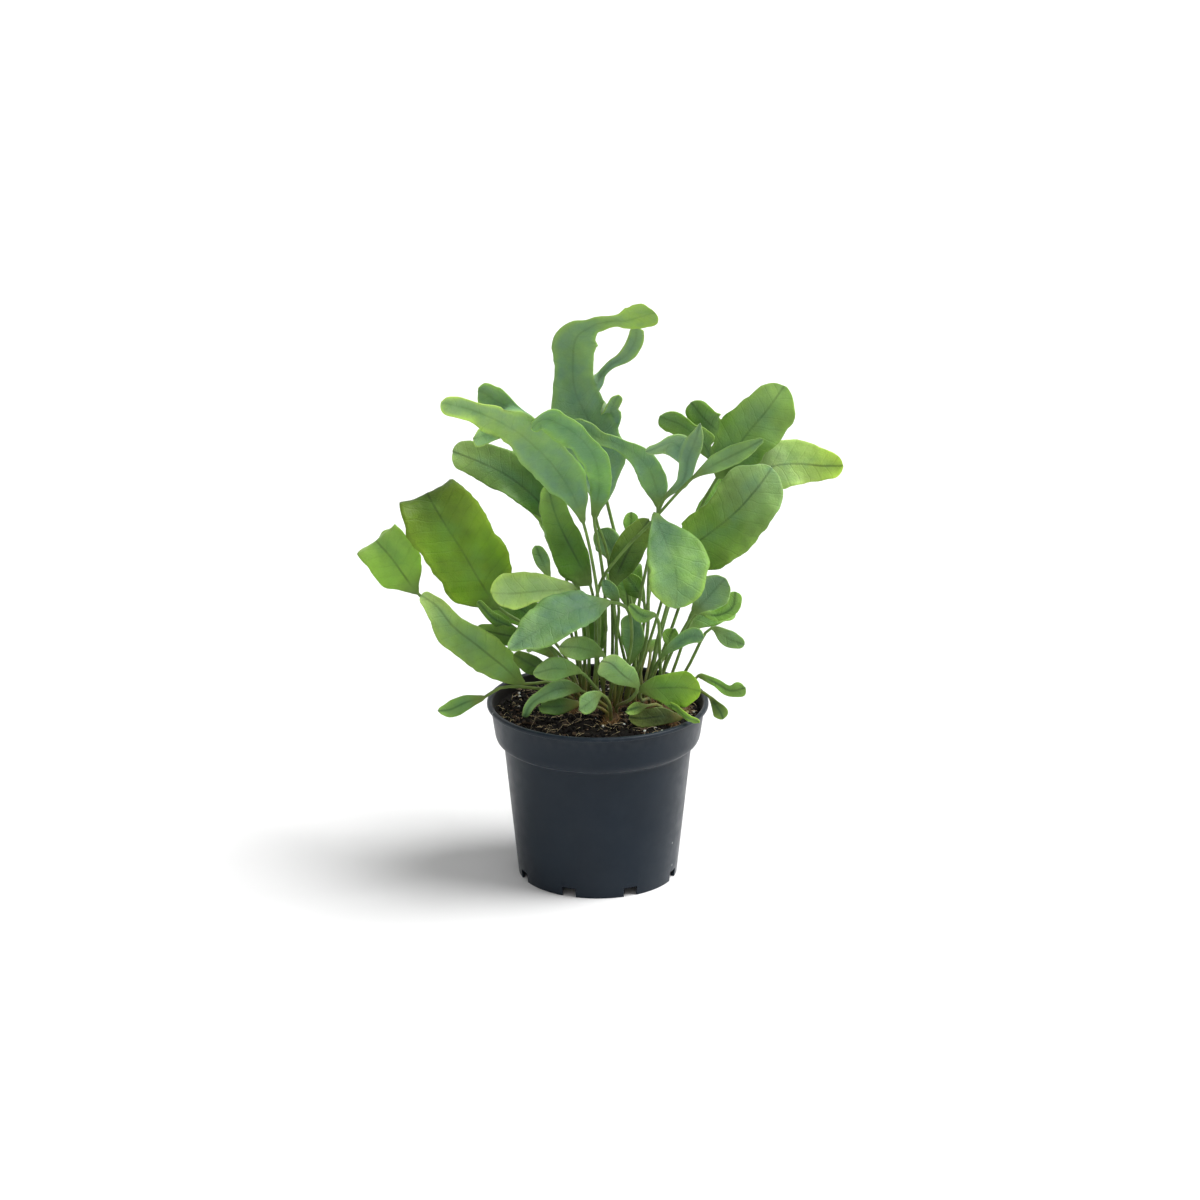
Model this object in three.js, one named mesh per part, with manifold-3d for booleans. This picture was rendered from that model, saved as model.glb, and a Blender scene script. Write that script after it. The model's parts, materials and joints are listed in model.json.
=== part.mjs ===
// Potted fern: a creeping fern with blue-green, lobed fronds in a dark plastic nursery pot.
//
// Millimetres, +Z up. The origin is the middle of the pot's foot ring, on the ground.
// -Y is the front of the plant, and +X is its right-hand side seen from the front.

import * as THREE from 'three';
import { mergeVertices } from 'three/addons/utils/BufferGeometryUtils.js';
import Module from 'manifold-3d';

const wasm = await Module();
wasm.setup();

// ---- Driving dimensions ----------------------------------------------------------------

const CLEARANCE = 0.3;           // gap between pieces that rest against each other

const POT_HEIGHT = 98;
const POT_RIM_RADIUS = 60;       // outside of the lip, a standard 12 cm nursery pot
const POT_BASE_RADIUS = 43.3;
const POT_WALL = 1.1;
const POT_SEGMENTS = 40;
const LIP_HEIGHT = 2.2;
const COLLAR_TOP_RADIUS = 58;
const COLLAR_FOOT_RADIUS = 55.6;
const COLLAR_FOOT_HEIGHT = 79.5;
const STEP_HEIGHT = 75;        // where the collar's curve meets the tapered body
const BODY_TOP_RADIUS = 51;
const FLOOR_HEIGHT = 5.5;        // underside of the raised floor
const NOTCHES = 8;               // drainage notches in the foot ring
const NOTCH_WIDTH = 7.7;
const NOTCH_HEIGHT = 5.2;
const FIRST_NOTCH = 24;          // degrees from the front, towards +X
const DRAIN_HOLES = 4;
const DRAIN_HOLE_RADIUS = 4;
const DRAIN_CIRCLE = 26;

const SOIL_EDGE = 91;            // level at the pot's wall
const SOIL_CROWN = 93;           // level in the middle
const SOIL_ROUGHNESS = 0.9;
const SOIL_RINGS = 6;

const RHIZOME_RADIUS = 4.4;
const RHIZOME_LEVEL = 92;        // height of its centre line, half sunk in the soil
const RHIZOME_SIDES = 8;
const RHIZOME_RING_STEP = 9;   // length between two rings of points
const RHIZOME_KNOBS = 0.07;      // how far it swells and narrows, as a share of its radius
const RHIZOME_END_TAPER = 0.72;
const SOCKET_SIDES = 5;

const STIPE_RADIUS = 1;          // stalk of a frond at its foot
const STIPE_END_RADIUS = 0.85;   // and where its blade begins
const SOCKET_RADIUS = STIPE_RADIUS + 2 * CLEARANCE;
const SOCKET_FLOOR = RHIZOME_LEVEL + 0.2;
const SOCKET_TOP = RHIZOME_LEVEL + RHIZOME_RADIUS + 2;
const RIB_THICKNESS = 1.3;       // a blade along its midrib
const MARGIN_THICKNESS = 0.7;    // a blade at its edge
const BROAD_BLADE = 9;           // half-width from which a blade has five rows of points across

const FRONT = [0, -1, 0.25];      // the way most blades face

// ---- Colours ---------------------------------------------------------------------------

function finish(color, roughness) {
  return new THREE.MeshStandardMaterial({ color, roughness, metalness: 0 });
}

const POT_PLASTIC = finish('#2c3441', 0.42);
const POTTING_SOIL = finish('#2a201a', 0.95);
const RHIZOME_SKIN = finish('#8a6a3c', 0.8);
const BLUE_GREEN = finish('#6c9a74', 0.5);      // fronds under a waxy bloom
const MID_GREEN = finish('#6a9a48', 0.5);
const DARK_GREEN = finish('#3f6c2f', 0.45);
const LIGHT_GREEN = finish('#8fb860', 0.5);
const SAGE_GREEN = finish('#84a37c', 0.55);
const OLIVE_GREEN = finish('#4d6a2c', 0.5);

// ---- Small tools -----------------------------------------------------------------------

const clamp01 = (x) => Math.min(1, Math.max(0, x));
const mix = (a, b, share) => a + (b - a) * share;
const smooth = (x) => clamp01(x) ** 2 * (3 - 2 * clamp01(x));
const vector = ([x, y, z]) => new THREE.Vector3(x, y, z);

function solidOf(geometry) {
  const bare = geometry.clone();
  bare.deleteAttribute('normal');
  bare.deleteAttribute('uv');
  const merged = mergeVertices(bare, 1e-4);
  return new wasm.Manifold(new wasm.Mesh({
    numProp: 3,
    vertProperties: new Float32Array(merged.attributes.position.array),
    triVerts: new Uint32Array(merged.index.array),
  }));
}

function geometryOf(solid) {
  const mesh = solid.getMesh();
  const geometry = new THREE.BufferGeometry();
  geometry.setAttribute('position', new THREE.BufferAttribute(mesh.vertProperties, 3));
  geometry.setIndex(new THREE.BufferAttribute(mesh.triVerts, 1));
  geometry.computeVertexNormals();
  return geometry;
}

// The biggest body of a solid: cutting can leave a loose crumb behind.
function mainBody(solid) {
  return solid.decompose().reduce((best, piece) => (piece.volume() > best.volume() ? piece : best));
}

function namedMesh(name, geometry, material) {
  const mesh = new THREE.Mesh(geometry, material);
  mesh.name = name;
  return mesh;
}

// A value between the entries of a list, on a smooth curve through them.
function smoothBetween(values, place) {
  const last = values.length - 1;
  const at = (i) => values[Math.min(last, Math.max(0, i))];
  const i = Math.min(last - 1, Math.floor(place));
  const t = place - i;
  const [a, b, c, d] = [at(i - 1), at(i), at(i + 1), at(i + 2)];
  return b + 0.5 * t * (c - a + t * (2 * a - 5 * b + 4 * c - d + t * (3 * (b - c) + d - a)));
}

// ---- Pot -------------------------------------------------------------------------------

const INNER_STEP = STEP_HEIGHT + 0.8;          // the same heights on the inside of the wall
const INNER_COLLAR_FOOT = COLLAR_FOOT_HEIGHT + 0.6;
const FLOOR_TOP = FLOOR_HEIGHT + POT_WALL;

const bodyRadius = (z) => mix(POT_BASE_RADIUS, BODY_TOP_RADIUS, z / STEP_HEIGHT);

// Outside and inside of the wall from the foot to the lip, as [radius, height].
function potProfile() {
  const stepMiddle = [mix(BODY_TOP_RADIUS, COLLAR_FOOT_RADIUS, 0.8), STEP_HEIGHT + 2];
  const lipFoot = POT_HEIGHT - LIP_HEIGHT;
  const outside = [
    [POT_BASE_RADIUS, 0], [BODY_TOP_RADIUS, STEP_HEIGHT], stepMiddle,
    [COLLAR_FOOT_RADIUS, COLLAR_FOOT_HEIGHT], [COLLAR_TOP_RADIUS, lipFoot],
    [POT_RIM_RADIUS - 0.4, lipFoot], [POT_RIM_RADIUS, lipFoot + 0.5],
    [POT_RIM_RADIUS, POT_HEIGHT - 0.5], [POT_RIM_RADIUS - 0.5, POT_HEIGHT],
  ];
  const inside = [
    [COLLAR_TOP_RADIUS - POT_WALL + 0.8, POT_HEIGHT], [COLLAR_TOP_RADIUS - POT_WALL, POT_HEIGHT - 1],
    [COLLAR_FOOT_RADIUS - POT_WALL, INNER_COLLAR_FOOT], [BODY_TOP_RADIUS - POT_WALL, INNER_STEP],
    [bodyRadius(FLOOR_HEIGHT) - POT_WALL, FLOOR_TOP], [0, FLOOR_TOP],
  ];
  const under = [
    [0, FLOOR_HEIGHT], [bodyRadius(FLOOR_HEIGHT) - POT_WALL, FLOOR_HEIGHT],
    [POT_BASE_RADIUS - POT_WALL, 0],
  ];
  return [...under, ...outside, ...inside].map(([r, z]) => new THREE.Vector2(r, z));
}

// A lathe turned so that its axis is Z.
function turned(profile, segments) {
  return new THREE.LatheGeometry(profile, segments).rotateX(Math.PI / 2);
}

function notchCutter(index) {
  const angle = THREE.MathUtils.degToRad(FIRST_NOTCH + (index * 360) / NOTCHES);
  const box = new THREE.BoxGeometry(NOTCH_WIDTH, 10 * POT_WALL, 2 * NOTCH_HEIGHT);
  return solidOf(box.translate(0, -POT_BASE_RADIUS, 0).rotateZ(angle));
}

function drainCutter(index) {
  const angle = ((index + 0.5) * 2 * Math.PI) / DRAIN_HOLES;
  const [x, y] = [DRAIN_CIRCLE * Math.cos(angle), DRAIN_CIRCLE * Math.sin(angle)];
  const hole = new THREE.CylinderGeometry(DRAIN_HOLE_RADIUS, DRAIN_HOLE_RADIUS, 4 * POT_WALL, 12);
  return solidOf(hole.rotateX(Math.PI / 2).translate(x, y, FLOOR_HEIGHT + POT_WALL / 2));
}

function pot() {
  let solid = solidOf(turned(potProfile(), POT_SEGMENTS));
  for (let i = 0; i < NOTCHES; i += 1) solid = solid.subtract(notchCutter(i));
  for (let i = 0; i < DRAIN_HOLES; i += 1) solid = solid.subtract(drainCutter(i));
  return namedMesh('pot', geometryOf(solid), POT_PLASTIC);
}

// ---- Rhizome ---------------------------------------------------------------------------

// Centre lines of the creeping stem's branches over the soil, as [x, y].
const RHIZOME_BRANCHES = [
  [[-20, -4], [-8, -2], [4, 1], [16, 2], [32, -1], [50, -4]],
  [[6, 1], [8, -12], [6, -27]],
  [[20, 2], [26, 14], [23, 29]],
  [[-6, -1], [-11, 10], [-8, 24]],
  [[33, -1], [39, -12], [37, -25]],
];

// The rings of points around a branch, its thickness swelling and narrowing, and its two ends.
function rhizomePoints(branch, margin) {
  const line = new THREE.CatmullRomCurve3(branch.map(([x, y]) => new THREE.Vector3(x, y, RHIZOME_LEVEL)));
  const rings = Math.round(line.getLength() / RHIZOME_RING_STEP);
  const points = [];
  for (let i = 0; i <= rings; i += 1) {
    const along = line.getTangent(i / rings);
    const across = new THREE.Vector3(-along.y, along.x, 0).normalize();
    const knobs = 1 + RHIZOME_KNOBS * Math.sin(i * 2.4 + branch[0][0]);
    const radius = RHIZOME_RADIUS * knobs * (i % rings === 0 ? RHIZOME_END_TAPER : 1) + margin;
    for (let j = 0; j < RHIZOME_SIDES; j += 1) {
      const angle = (j * 2 * Math.PI) / RHIZOME_SIDES;
      const point = line.getPoint(i / rings).addScaledVector(across, radius * Math.cos(angle));
      point.z += radius * Math.sin(angle);
      points.push(point);
    }
  }
  const reach = RHIZOME_RADIUS / 2 + margin;
  points.push(line.getPoint(0).addScaledVector(line.getTangent(0), -reach));
  points.push(line.getPoint(1).addScaledVector(line.getTangent(1), reach));
  return { points, rings };
}

// A knobbly tube with round ends along a branch, grown on all sides by a margin.
function rhizomeTube(branch, margin) {
  const { points, rings } = rhizomePoints(branch, margin);
  const [first, last] = [points.length - 2, points.length - 1];
  const faces = [];
  for (let j = 0; j < RHIZOME_SIDES; j += 1) {
    const next = (j + 1) % RHIZOME_SIDES;
    for (let i = 0; i < rings; i += 1) {
      const a = i * RHIZOME_SIDES;
      const b = a + RHIZOME_SIDES;
      faces.push([a + j, b + next, b + j], [a + j, a + next, b + next]);
    }
    faces.push([first, next, j]);
    faces.push([last, rings * RHIZOME_SIDES + j, rings * RHIZOME_SIDES + next]);
  }
  return solidOf(meshGeometry(points, faces));
}

function meshGeometry(points, faces) {
  const numbers = points.flatMap((point) => point.toArray());
  const geometry = new THREE.BufferGeometry();
  geometry.setAttribute('position', new THREE.Float32BufferAttribute(numbers, 3));
  geometry.setIndex(faces.flat());
  geometry.computeVertexNormals();
  return geometry;
}

const rhizomeBody = (margin) => RHIZOME_BRANCHES
  .map((branch) => rhizomeTube(branch, margin))
  .reduce((whole, tube) => whole.add(tube));

// The plain hole that a frond's stalk stands in.
function socket([x, y]) {
  const depth = 2 * RHIZOME_RADIUS + 4;
  const hole = new THREE.CylinderGeometry(SOCKET_RADIUS, SOCKET_RADIUS, depth, SOCKET_SIDES);
  return solidOf(hole.rotateX(Math.PI / 2).translate(x, y, SOCKET_FLOOR + depth / 2));
}

function rhizome(feet) {
  const solid = feet.reduce((body, foot) => body.subtract(socket(foot)), rhizomeBody(0));
  return namedMesh('rhizome', geometryOf(mainBody(solid)), RHIZOME_SKIN);
}

// ---- Soil ------------------------------------------------------------------------------

const EDGE_SHARE = (SOIL_EDGE - COLLAR_FOOT_HEIGHT) / (POT_HEIGHT - LIP_HEIGHT - COLLAR_FOOT_HEIGHT);
const SOIL_RADIUS = mix(COLLAR_FOOT_RADIUS, COLLAR_TOP_RADIUS, EDGE_SHARE) - POT_WALL - CLEARANCE;

// Height of the soil: a low mound with clods, level at the pot's wall.
function soilLevel(x, y) {
  const away = Math.hypot(x, y) / SOIL_RADIUS;
  const clods = Math.sin(x * 0.43 + 1) * Math.cos(y * 0.37) + 0.7 * Math.sin(x * 0.19 - y * 0.61 + 2);
  return mix(SOIL_CROWN, SOIL_EDGE, away ** 2) + SOIL_ROUGHNESS * clods * (1 - away ** 8);
}

function soil() {
  const inner = POT_WALL + CLEARANCE;
  const bottom = FLOOR_TOP + CLEARANCE;
  const wall = [
    [0, bottom], [bodyRadius(bottom) - inner, bottom],
    [BODY_TOP_RADIUS - inner, INNER_STEP + CLEARANCE],
    [COLLAR_FOOT_RADIUS - inner, INNER_COLLAR_FOOT + CLEARANCE], [SOIL_RADIUS, SOIL_EDGE],
  ];
  for (let i = SOIL_RINGS - 1; i >= 0; i -= 1) wall.push([(SOIL_RADIUS * i) / SOIL_RINGS, SOIL_CROWN]);
  const geometry = turned(wall.map(([r, z]) => new THREE.Vector2(r, z)), POT_SEGMENTS);
  const spots = geometry.attributes.position;
  for (let i = 0; i < spots.count; i += 1) {
    if (spots.getZ(i) > SOIL_CROWN - 0.01) spots.setZ(i, soilLevel(spots.getX(i), spots.getY(i)));
  }
  const solid = solidOf(geometry).subtract(rhizomeBody(CLEARANCE));
  return namedMesh('soil', geometryOf(mainBody(solid)), POTTING_SOIL);
}

// ---- Frond sheets ----------------------------------------------------------------------
//
// A frond is a thin sheet that starts as a round stalk (the stipe) and widens into a blade
// along its midrib, with lobes that grow out of its margins. The sheet is a list of middle
// points with a thickness each; both faces are split into the same triangles.

class Sheet {
  constructor() {
    this.points = [];
    this.thickness = [];
    this.faces = [];
  }

  add(point, thickness) {
    this.thickness.push(thickness);
    return this.points.push(point) - 1;
  }

  // Joins two rows of points. A row has 1, 3 or 5 points, and the rows may differ.
  bridge(near, far) {
    let i = 0;
    let j = 0;
    while (i < near.length - 1 || j < far.length - 1) {
      const nearNext = near.length > 1 ? (i + 1) / (near.length - 1) : 2;
      const farNext = far.length > 1 ? (j + 1) / (far.length - 1) : 2;
      if (nearNext < farNext || (nearNext === farNext && i <= j && nearNext <= 1)) {
        this.faces.push([near[i], near[i + 1], far[j]]);
        i += 1;
      } else {
        this.faces.push([near[i], far[j + 1], far[j]]);
        j += 1;
      }
    }
  }

  normals() {
    const sums = this.points.map(() => new THREE.Vector3());
    const [u, v] = [new THREE.Vector3(), new THREE.Vector3()];
    for (const [a, b, c] of this.faces) {
      u.subVectors(this.points[b], this.points[a]);
      v.subVectors(this.points[c], this.points[a]);
      u.cross(v);
      for (const i of [a, b, c]) sums[i].add(u);
    }
    return sums.map((sum) => sum.normalize());
  }

  // The closed solid: the upper face, the lower face and a wall along the open edges.
  solid() {
    const normals = this.normals();
    const count = this.points.length;
    const side = (sign) => this.points.map(
      (point, i) => point.clone().addScaledVector(normals[i], (sign * this.thickness[i]) / 2),
    );
    const faces = this.faces.flatMap(([a, b, c]) => [[a, b, c], [c + count, b + count, a + count]]);
    const edges = new Set(this.faces.flatMap(([a, b, c]) => [`${a} ${b}`, `${b} ${c}`, `${c} ${a}`]));
    for (const edge of edges) {
      const [a, b] = edge.split(' ').map(Number);
      if (!edges.has(`${b} ${a}`)) faces.push([b, a, a + count], [b, a + count, b + count]);
    }
    return meshGeometry([...side(1), ...side(-1)], faces);
  }
}

// Directions along a curve: `along` it, `up` out of the upper face and `across` to the right.
// The upper face is carried along without turning, from the direction it has at `start`.
function carriedFrames(curve, places, start, up) {
  const frames = [];
  const carry = (order, first) => {
    let carried = first.clone();
    for (const i of order) {
      const along = curve.getTangent(places[i]);
      carried = carried.clone().addScaledVector(along, -carried.dot(along)).normalize();
      frames[i] = { along, up: carried, across: new THREE.Vector3().crossVectors(along, carried) };
    }
  };
  const indices = places.map((_, i) => i);
  carry(indices.slice(start), up);
  carry(indices.slice(0, start).reverse(), frames[start].up);
  return frames;
}

// Places along a rib, counted in its given points, with two steps between points and finer
// steps where the end is rounded off.
function ribPlaces(rib, spans) {
  const last = rib.length - 1;
  const end = vector(rib[last]);
  const roundFrom = last - Math.min(0.9, rib[last][3] / end.distanceTo(vector(rib[last - 1])));
  let places = [];
  for (let i = 0; i < 2 * last; i += 1) places.push(i / 2);
  places = places.filter((place) => place < roundFrom - 0.15);
  for (const [from, to] of spans) {
    places = places.filter((place) => place < from - 0.2 || place > to + 0.2);
    places.push(from, (from + to) / 2, to);
  }
  places.sort((a, b) => a - b);
  return { places, roundFrom, ends: [0, 0.5, 0.85].map((q) => mix(roundFrom, last, q)) };
}

// The half-widths of a blade at a place, to the left and to the right, rounded off towards its end.
function halfWidths(rib, place, roundFrom) {
  const last = rib.length - 1;
  const q = clamp01((place - roundFrom) / (last - roundFrom));
  const sides = [rib.map((point) => point[4] ?? point[3]), rib.map((point) => point[3])];
  return sides.map((widths) => Math.max(0.4, smoothBetween(widths, place)) * Math.sqrt(1 - q * q));
}

// One row of a blade: points spread across the midrib, cupped and waved.
function bladeRow(sheet, centre, frame, [left, right], columns, shape) {
  return Array.from({ length: columns }, (_, j) => {
    const t = (2 * j) / (columns - 1) - 1;
    const half = t < 0 ? left : right;
    const lift = shape.cup * half * t * t + shape.wave * Math.sin(shape.phase + t * 1.3) * t * t;
    const point = centre.clone().addScaledVector(frame.across, half * t).addScaledVector(frame.up, lift);
    const leaf = mix(RIB_THICKNESS, MARGIN_THICKNESS, Math.sqrt(Math.abs(t)));
    const stalk = STIPE_RADIUS * (1.9 - 0.9 * Math.abs(t));
    return sheet.add(point, mix(stalk, leaf, shape.leafiness));
  });
}

const PLAIN = { wave: 0, phase: 0, leafiness: 1 };

// A lobe grows out of the margin between two rows of the blade: it leaves in the shape of
// that margin and turns into a blade of its own along its rib.
function lobe(sheet, rows, part, cup) {
  const root = rows.filter(({ place }) => place > part.from - 0.01 && place < part.to + 0.01);
  let near = root.map((row) => row.points.at(part.side === 'right' ? -1 : 0));
  if (part.side === 'right') near.reverse();
  const margin = near.map((index) => sheet.points[index].clone());
  const start = margin.reduce((sum, point) => sum.add(point), vector([0, 0, 0])).divideScalar(margin.length);
  const rib = [[...start.toArray(), margin[0].distanceTo(margin.at(-1)) / 2], ...part.rib];
  const last = rib.length - 1;
  const curve = new THREE.CatmullRomCurve3(rib.map(vector));
  const { places, roundFrom, ends } = ribPlaces(rib, []);
  const stations = [...places, ...ends].filter((place) => place > 0.3);
  const up = root[Math.floor(root.length / 2)].frame.up;
  const frames = carriedFrames(curve, stations.map((place) => place / last), 0, up);
  stations.forEach((place, i) => {
    const centre = curve.getPoint(place / last);
    const halves = halfWidths(rib, place, roundFrom);
    const far = bladeRow(sheet, centre, frames[i], halves, near.length, { ...PLAIN, cup });
    far.forEach((index, j) => {
      const pushed = margin[j].clone().add(centre).sub(start);
      sheet.points[index].lerp(pushed, 1 - smooth(place / 0.9));
    });
    sheet.bridge(near, far);
    near = far;
  });
  sheet.bridge(near, [sheet.add(curve.getPoint(1), MARGIN_THICKNESS)]);
}

// Places of a frond's rows, counted in the points of its spine.
function frondStations(frond, stalkPoints) {
  const { places, roundFrom, ends } = ribPlaces(frond.rib, frond.lobes.map(({ from, to }) => [from, to]));
  const stalk = [0, 1];
  for (let place = 1.5; place < stalkPoints - 0.1; place += 0.5) stalk.push(place);
  const blade = [...places, ...ends].map((place) => place + stalkPoints);
  return { stations: [...stalk, ...blade], bladeStart: stalk.length, roundFrom };
}

function frondGeometry(given) {
  const frond = { face: FRONT, cup: 0.12, wave: 1, stipe: [], lobes: [], ...given };
  const [x, y] = frond.foot;
  const stalk = [[x, y, SOCKET_FLOOR + CLEARANCE], [x, y, SOCKET_TOP], ...frond.stipe];
  const spine = [...stalk, ...frond.rib];
  const curve = new THREE.CatmullRomCurve3(spine.map(vector));
  const { stations, bladeStart, roundFrom } = frondStations(frond, stalk.length);
  const shares = stations.map((station) => station / (spine.length - 1));
  const frames = carriedFrames(curve, shares, bladeStart, vector(frond.face));
  const broad = Math.max(...frond.rib.map((point) => point[3])) >= BROAD_BLADE;
  const sheet = new Sheet();
  const rows = stations.map((station, i) => {
    const place = station - stalk.length;
    const stalkHalf = mix(STIPE_RADIUS, STIPE_END_RADIUS, station / stalk.length);
    const halves = place > 0 ? halfWidths(frond.rib, place, roundFrom) : [stalkHalf, stalkHalf];
    const points = bladeRow(sheet, curve.getPoint(shares[i]), frames[i], halves, broad && place > 0 ? 5 : 3, {
      cup: frond.cup * clamp01(place),
      wave: frond.wave * clamp01(place) * clamp01(halves[1] / 8),
      phase: place * 2.6 + x,
      leafiness: smooth(place),
    });
    return { place, points, frame: frames[i] };
  });
  rows.slice(1).forEach((row, i) => sheet.bridge(rows[i].points, row.points));
  sheet.bridge(rows.at(-1).points, [sheet.add(curve.getPoint(1), MARGIN_THICKNESS)]);
  for (const part of frond.lobes) lobe(sheet, rows, part, frond.cup);
  return sheet.solid();
}

// ---- Fronds ----------------------------------------------------------------------------
//
// colour: of the frond as a whole
// foot: where the stalk stands on the rhizome, [x, y]
// stipe: points of the stalk between its foot and the blade, [x, y, z]
// rib: points of the midrib from the blade's base to its end, [x, y, z, half-width] or, where
//   the sides differ, [x, y, z, right half-width, left half-width]
// face: direction that the upper face looks in at the blade's base
// cup: how far the margins lift, as a share of the half-width; wave: height of their waves
// lobes: side, from and to (places along the rib, counted in its points), and a rib each

const FRONDS = [
  {
    name: 'frond_crest',
    colour: BLUE_GREEN,
    foot: [7, 3],
    stipe: [[8, 6, 130], [7, 8, 164], [4, 9, 183]],
    rib: [
      [-1, 10, 198, 1.5], [1, 11, 213, 7], [0, 12, 232, 16, 17], [-5, 10, 252, 13, 27],
      [-12, 8, 269, 12, 13], [-13, 6, 286, 11.5], [-11, 1, 300, 12, 12], [-3, -4, 307.5, 5],
      [5, -9, 310.5, 4.5], [14, -14, 312.5, 5.5], [22.5, -19, 317, 8, 10], [29.5, -24, 319.5, 9.5, 14],
    ],
    face: [0, -1, 0.2],
    wave: 1.5,
    lobes: [
      {
        side: 'right', from: 3.7, to: 4.4,
        rib: [[2, 11, 277, 2], [7, 8, 283.5, 2.2], [14.5, 5, 289, 3.4], [19.5, 2, 297, 3.6], [20.5, -3, 306, 3]],
      },
      { side: 'right', from: 2.6, to: 3.3, rib: [[7, 4, 259, 3.6], [11, 0, 268, 2.6]] },
    ],
  },
  {
    name: 'frond_arching_left',
    colour: BLUE_GREEN,
    foot: [-3, -3],
    stipe: [[1, -10, 147], [-3, -14, 182]],
    rib: [
      [-7.5, -15.5, 203, 1.5], [-12.5, -19, 218, 7, 5], [-18.5, -23, 230, 12, 10.5], [-25.5, -28, 241, 12.5, 12],
      [-33.5, -33, 251, 12.5, 11], [-42, -38, 260, 12, 8], [-53, -42, 267, 8.5, 9], [-65, -46, 273, 4.5, 5.5],
      [-80, -50, 278.5, 6.5],
    ],
    lobes: [
      { side: 'right', from: 4.9, to: 6, rib: [[-53.5, -36, 275.5, 7.5], [-61.5, -32, 279.5, 6.5]] },
      { side: 'left', from: 5.3, to: 6.3, rib: [[-64, -49, 259, 4.5]] },
    ],
  },
  {
    name: 'frond_folded_over',
    colour: BLUE_GREEN,
    foot: [3, -1],
    stipe: [[4, -2, 156], [1, -4, 184]],
    rib: [
      [-2, -8, 204, 1.5], [0.5, -15, 218.5, 5, 4], [0.5, -24, 232.5, 6.5, 6], [-3, -31, 246, 7, 8],
      [-10, -36, 256.5, 5.5, 10], [-19, -39, 264, 8, 10], [-28, -42, 267.5, 10, 8], [-34, -46, 263.5, 6.5],
    ],
  },
  {
    name: 'frond_ribbon',
    colour: BLUE_GREEN,
    foot: [15, 4],
    stipe: [[23, 4, 131], [28, 5, 159], [31, 6, 187]],
    rib: [
      [32, 6, 205, 1.5], [31, 5, 216, 6.5], [27.5, 4, 226.5, 7.5], [22, 3, 234, 6], [11, 2, 241, 3.5],
      [1, 1, 245, 3.5], [-7, 0, 251, 4.5], [-13, -1, 255, 3],
    ],
  },
  {
    name: 'frond_shaded_left',
    colour: DARK_GREEN,
    foot: [-8, 6],
    stipe: [[-7, 12, 134], [-12, 18, 163]],
    rib: [
      [-22, 20, 190, 2], [-32, 24, 203, 9, 7], [-47, 28, 215, 14, 10], [-63, 32, 222.5, 11, 9],
      [-78, 34, 228, 8.5],
    ],
    wave: 1.5,
  },
  {
    name: 'frond_tall_folded',
    colour: DARK_GREEN,
    foot: [-1, 2],
    stipe: [[-1, -1, 144]],
    rib: [
      [-4, -2, 164, 1.5, 6], [-11, -4, 179, 7, 12.5], [-19, -6, 196, 8.5, 9.5], [-24, -8, 211, 7.5],
      [-26, -9, 222, 4.5],
    ],
    cup: 0.35,
  },
  {
    name: 'frond_broad_left',
    colour: DARK_GREEN,
    foot: [-15, -1],
    stipe: [[-21, 3, 120], [-36, 5, 137]],
    rib: [
      [-53, 4, 149, 3], [-62, 2, 163, 19, 17.5], [-72, 0, 182, 23, 21], [-81, 0, 197, 22, 21.5],
      [-88, 4, 208, 20, 20], [-91, 11, 211.5, 16], [-90, 20, 207, 10],
    ],
    wave: 1.5,
  },
  {
    name: 'frond_far_left',
    colour: LIGHT_GREEN,
    foot: [-12, 9],
    stipe: [[-29, 12, 106], [-53, 15, 120], [-77, 15, 136]],
    rib: [
      [-97, 14, 154, 1.5], [-104.5, 14, 164.5, 12.5, 11.5], [-111.5, 15, 174.5, 15, 13.5],
      [-119, 20, 181.5, 13.5, 13], [-119, 28, 180.5, 8],
    ],
  },
  {
    name: 'frond_long_low_left',
    colour: MID_GREEN,
    foot: [-17, -6],
    stipe: [[-20, -9, 108], [-28, -13, 113]],
    rib: [
      [-39, -16, 113, 1.5], [-51, -18, 124, 8.5, 9], [-64, -20, 136, 10, 12], [-77, -20, 147, 6.5, 11],
      [-86, -18, 158, 4, 6.5], [-94, -16, 163, 3],
    ],
  },
  {
    name: 'frond_over_rim_left',
    colour: MID_GREEN,
    foot: [-12, -5],
    stipe: [[-18, -13, 106], [-36, -22, 113], [-52, -28, 115]],
    rib: [[-60, -31, 111, 1.5], [-70, -34, 109, 3.8], [-78, -38, 106.5, 4.2], [-85, -42, 107, 1.8]],
  },
  {
    name: 'frond_front_left',
    colour: BLUE_GREEN,
    foot: [10, -8],
    stipe: [[18, -22, 140], [15, -30, 161]],
    rib: [
      [7, -34, 165, 1.5], [-4, -40, 165, 8.5], [-19, -50, 163, 14.5], [-33, -61, 157, 10.5],
      [-46, -70, 151, 2.5],
    ],
    face: [0, -0.6, 0.9],
  },
  {
    name: 'frond_sage_left',
    colour: SAGE_GREEN,
    foot: [-5, 1],
    stipe: [[-5, -6, 134], [-8, -11, 157]],
    rib: [
      [-12, -14, 166, 2], [-23, -20, 167, 8, 5], [-36, -26, 168, 10.5, 6.5], [-47, -31, 169, 11, 9.5],
      [-55.5, -35, 171, 8.5, 9],
    ],
    face: [0, -0.7, 0.9],
  },
  {
    name: 'frond_behind_low_left',
    colour: DARK_GREEN,
    foot: [-10, 0],
    stipe: [[-19, -3, 123]],
    rib: [[-28, -5, 132, 1], [-42, -7, 136, 4.5], [-53, -8, 139, 5.5], [-65, -9, 142, 2.5]],
    lobes: [{ side: 'right', from: 1.2, to: 1.9, rib: [[-56, -9, 148, 2.5], [-64, -8, 157, 1.6]] }],
  },
  {
    name: 'frond_low_left',
    colour: DARK_GREEN,
    foot: [-8, -4],
    stipe: [[-19, -17, 116]],
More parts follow.
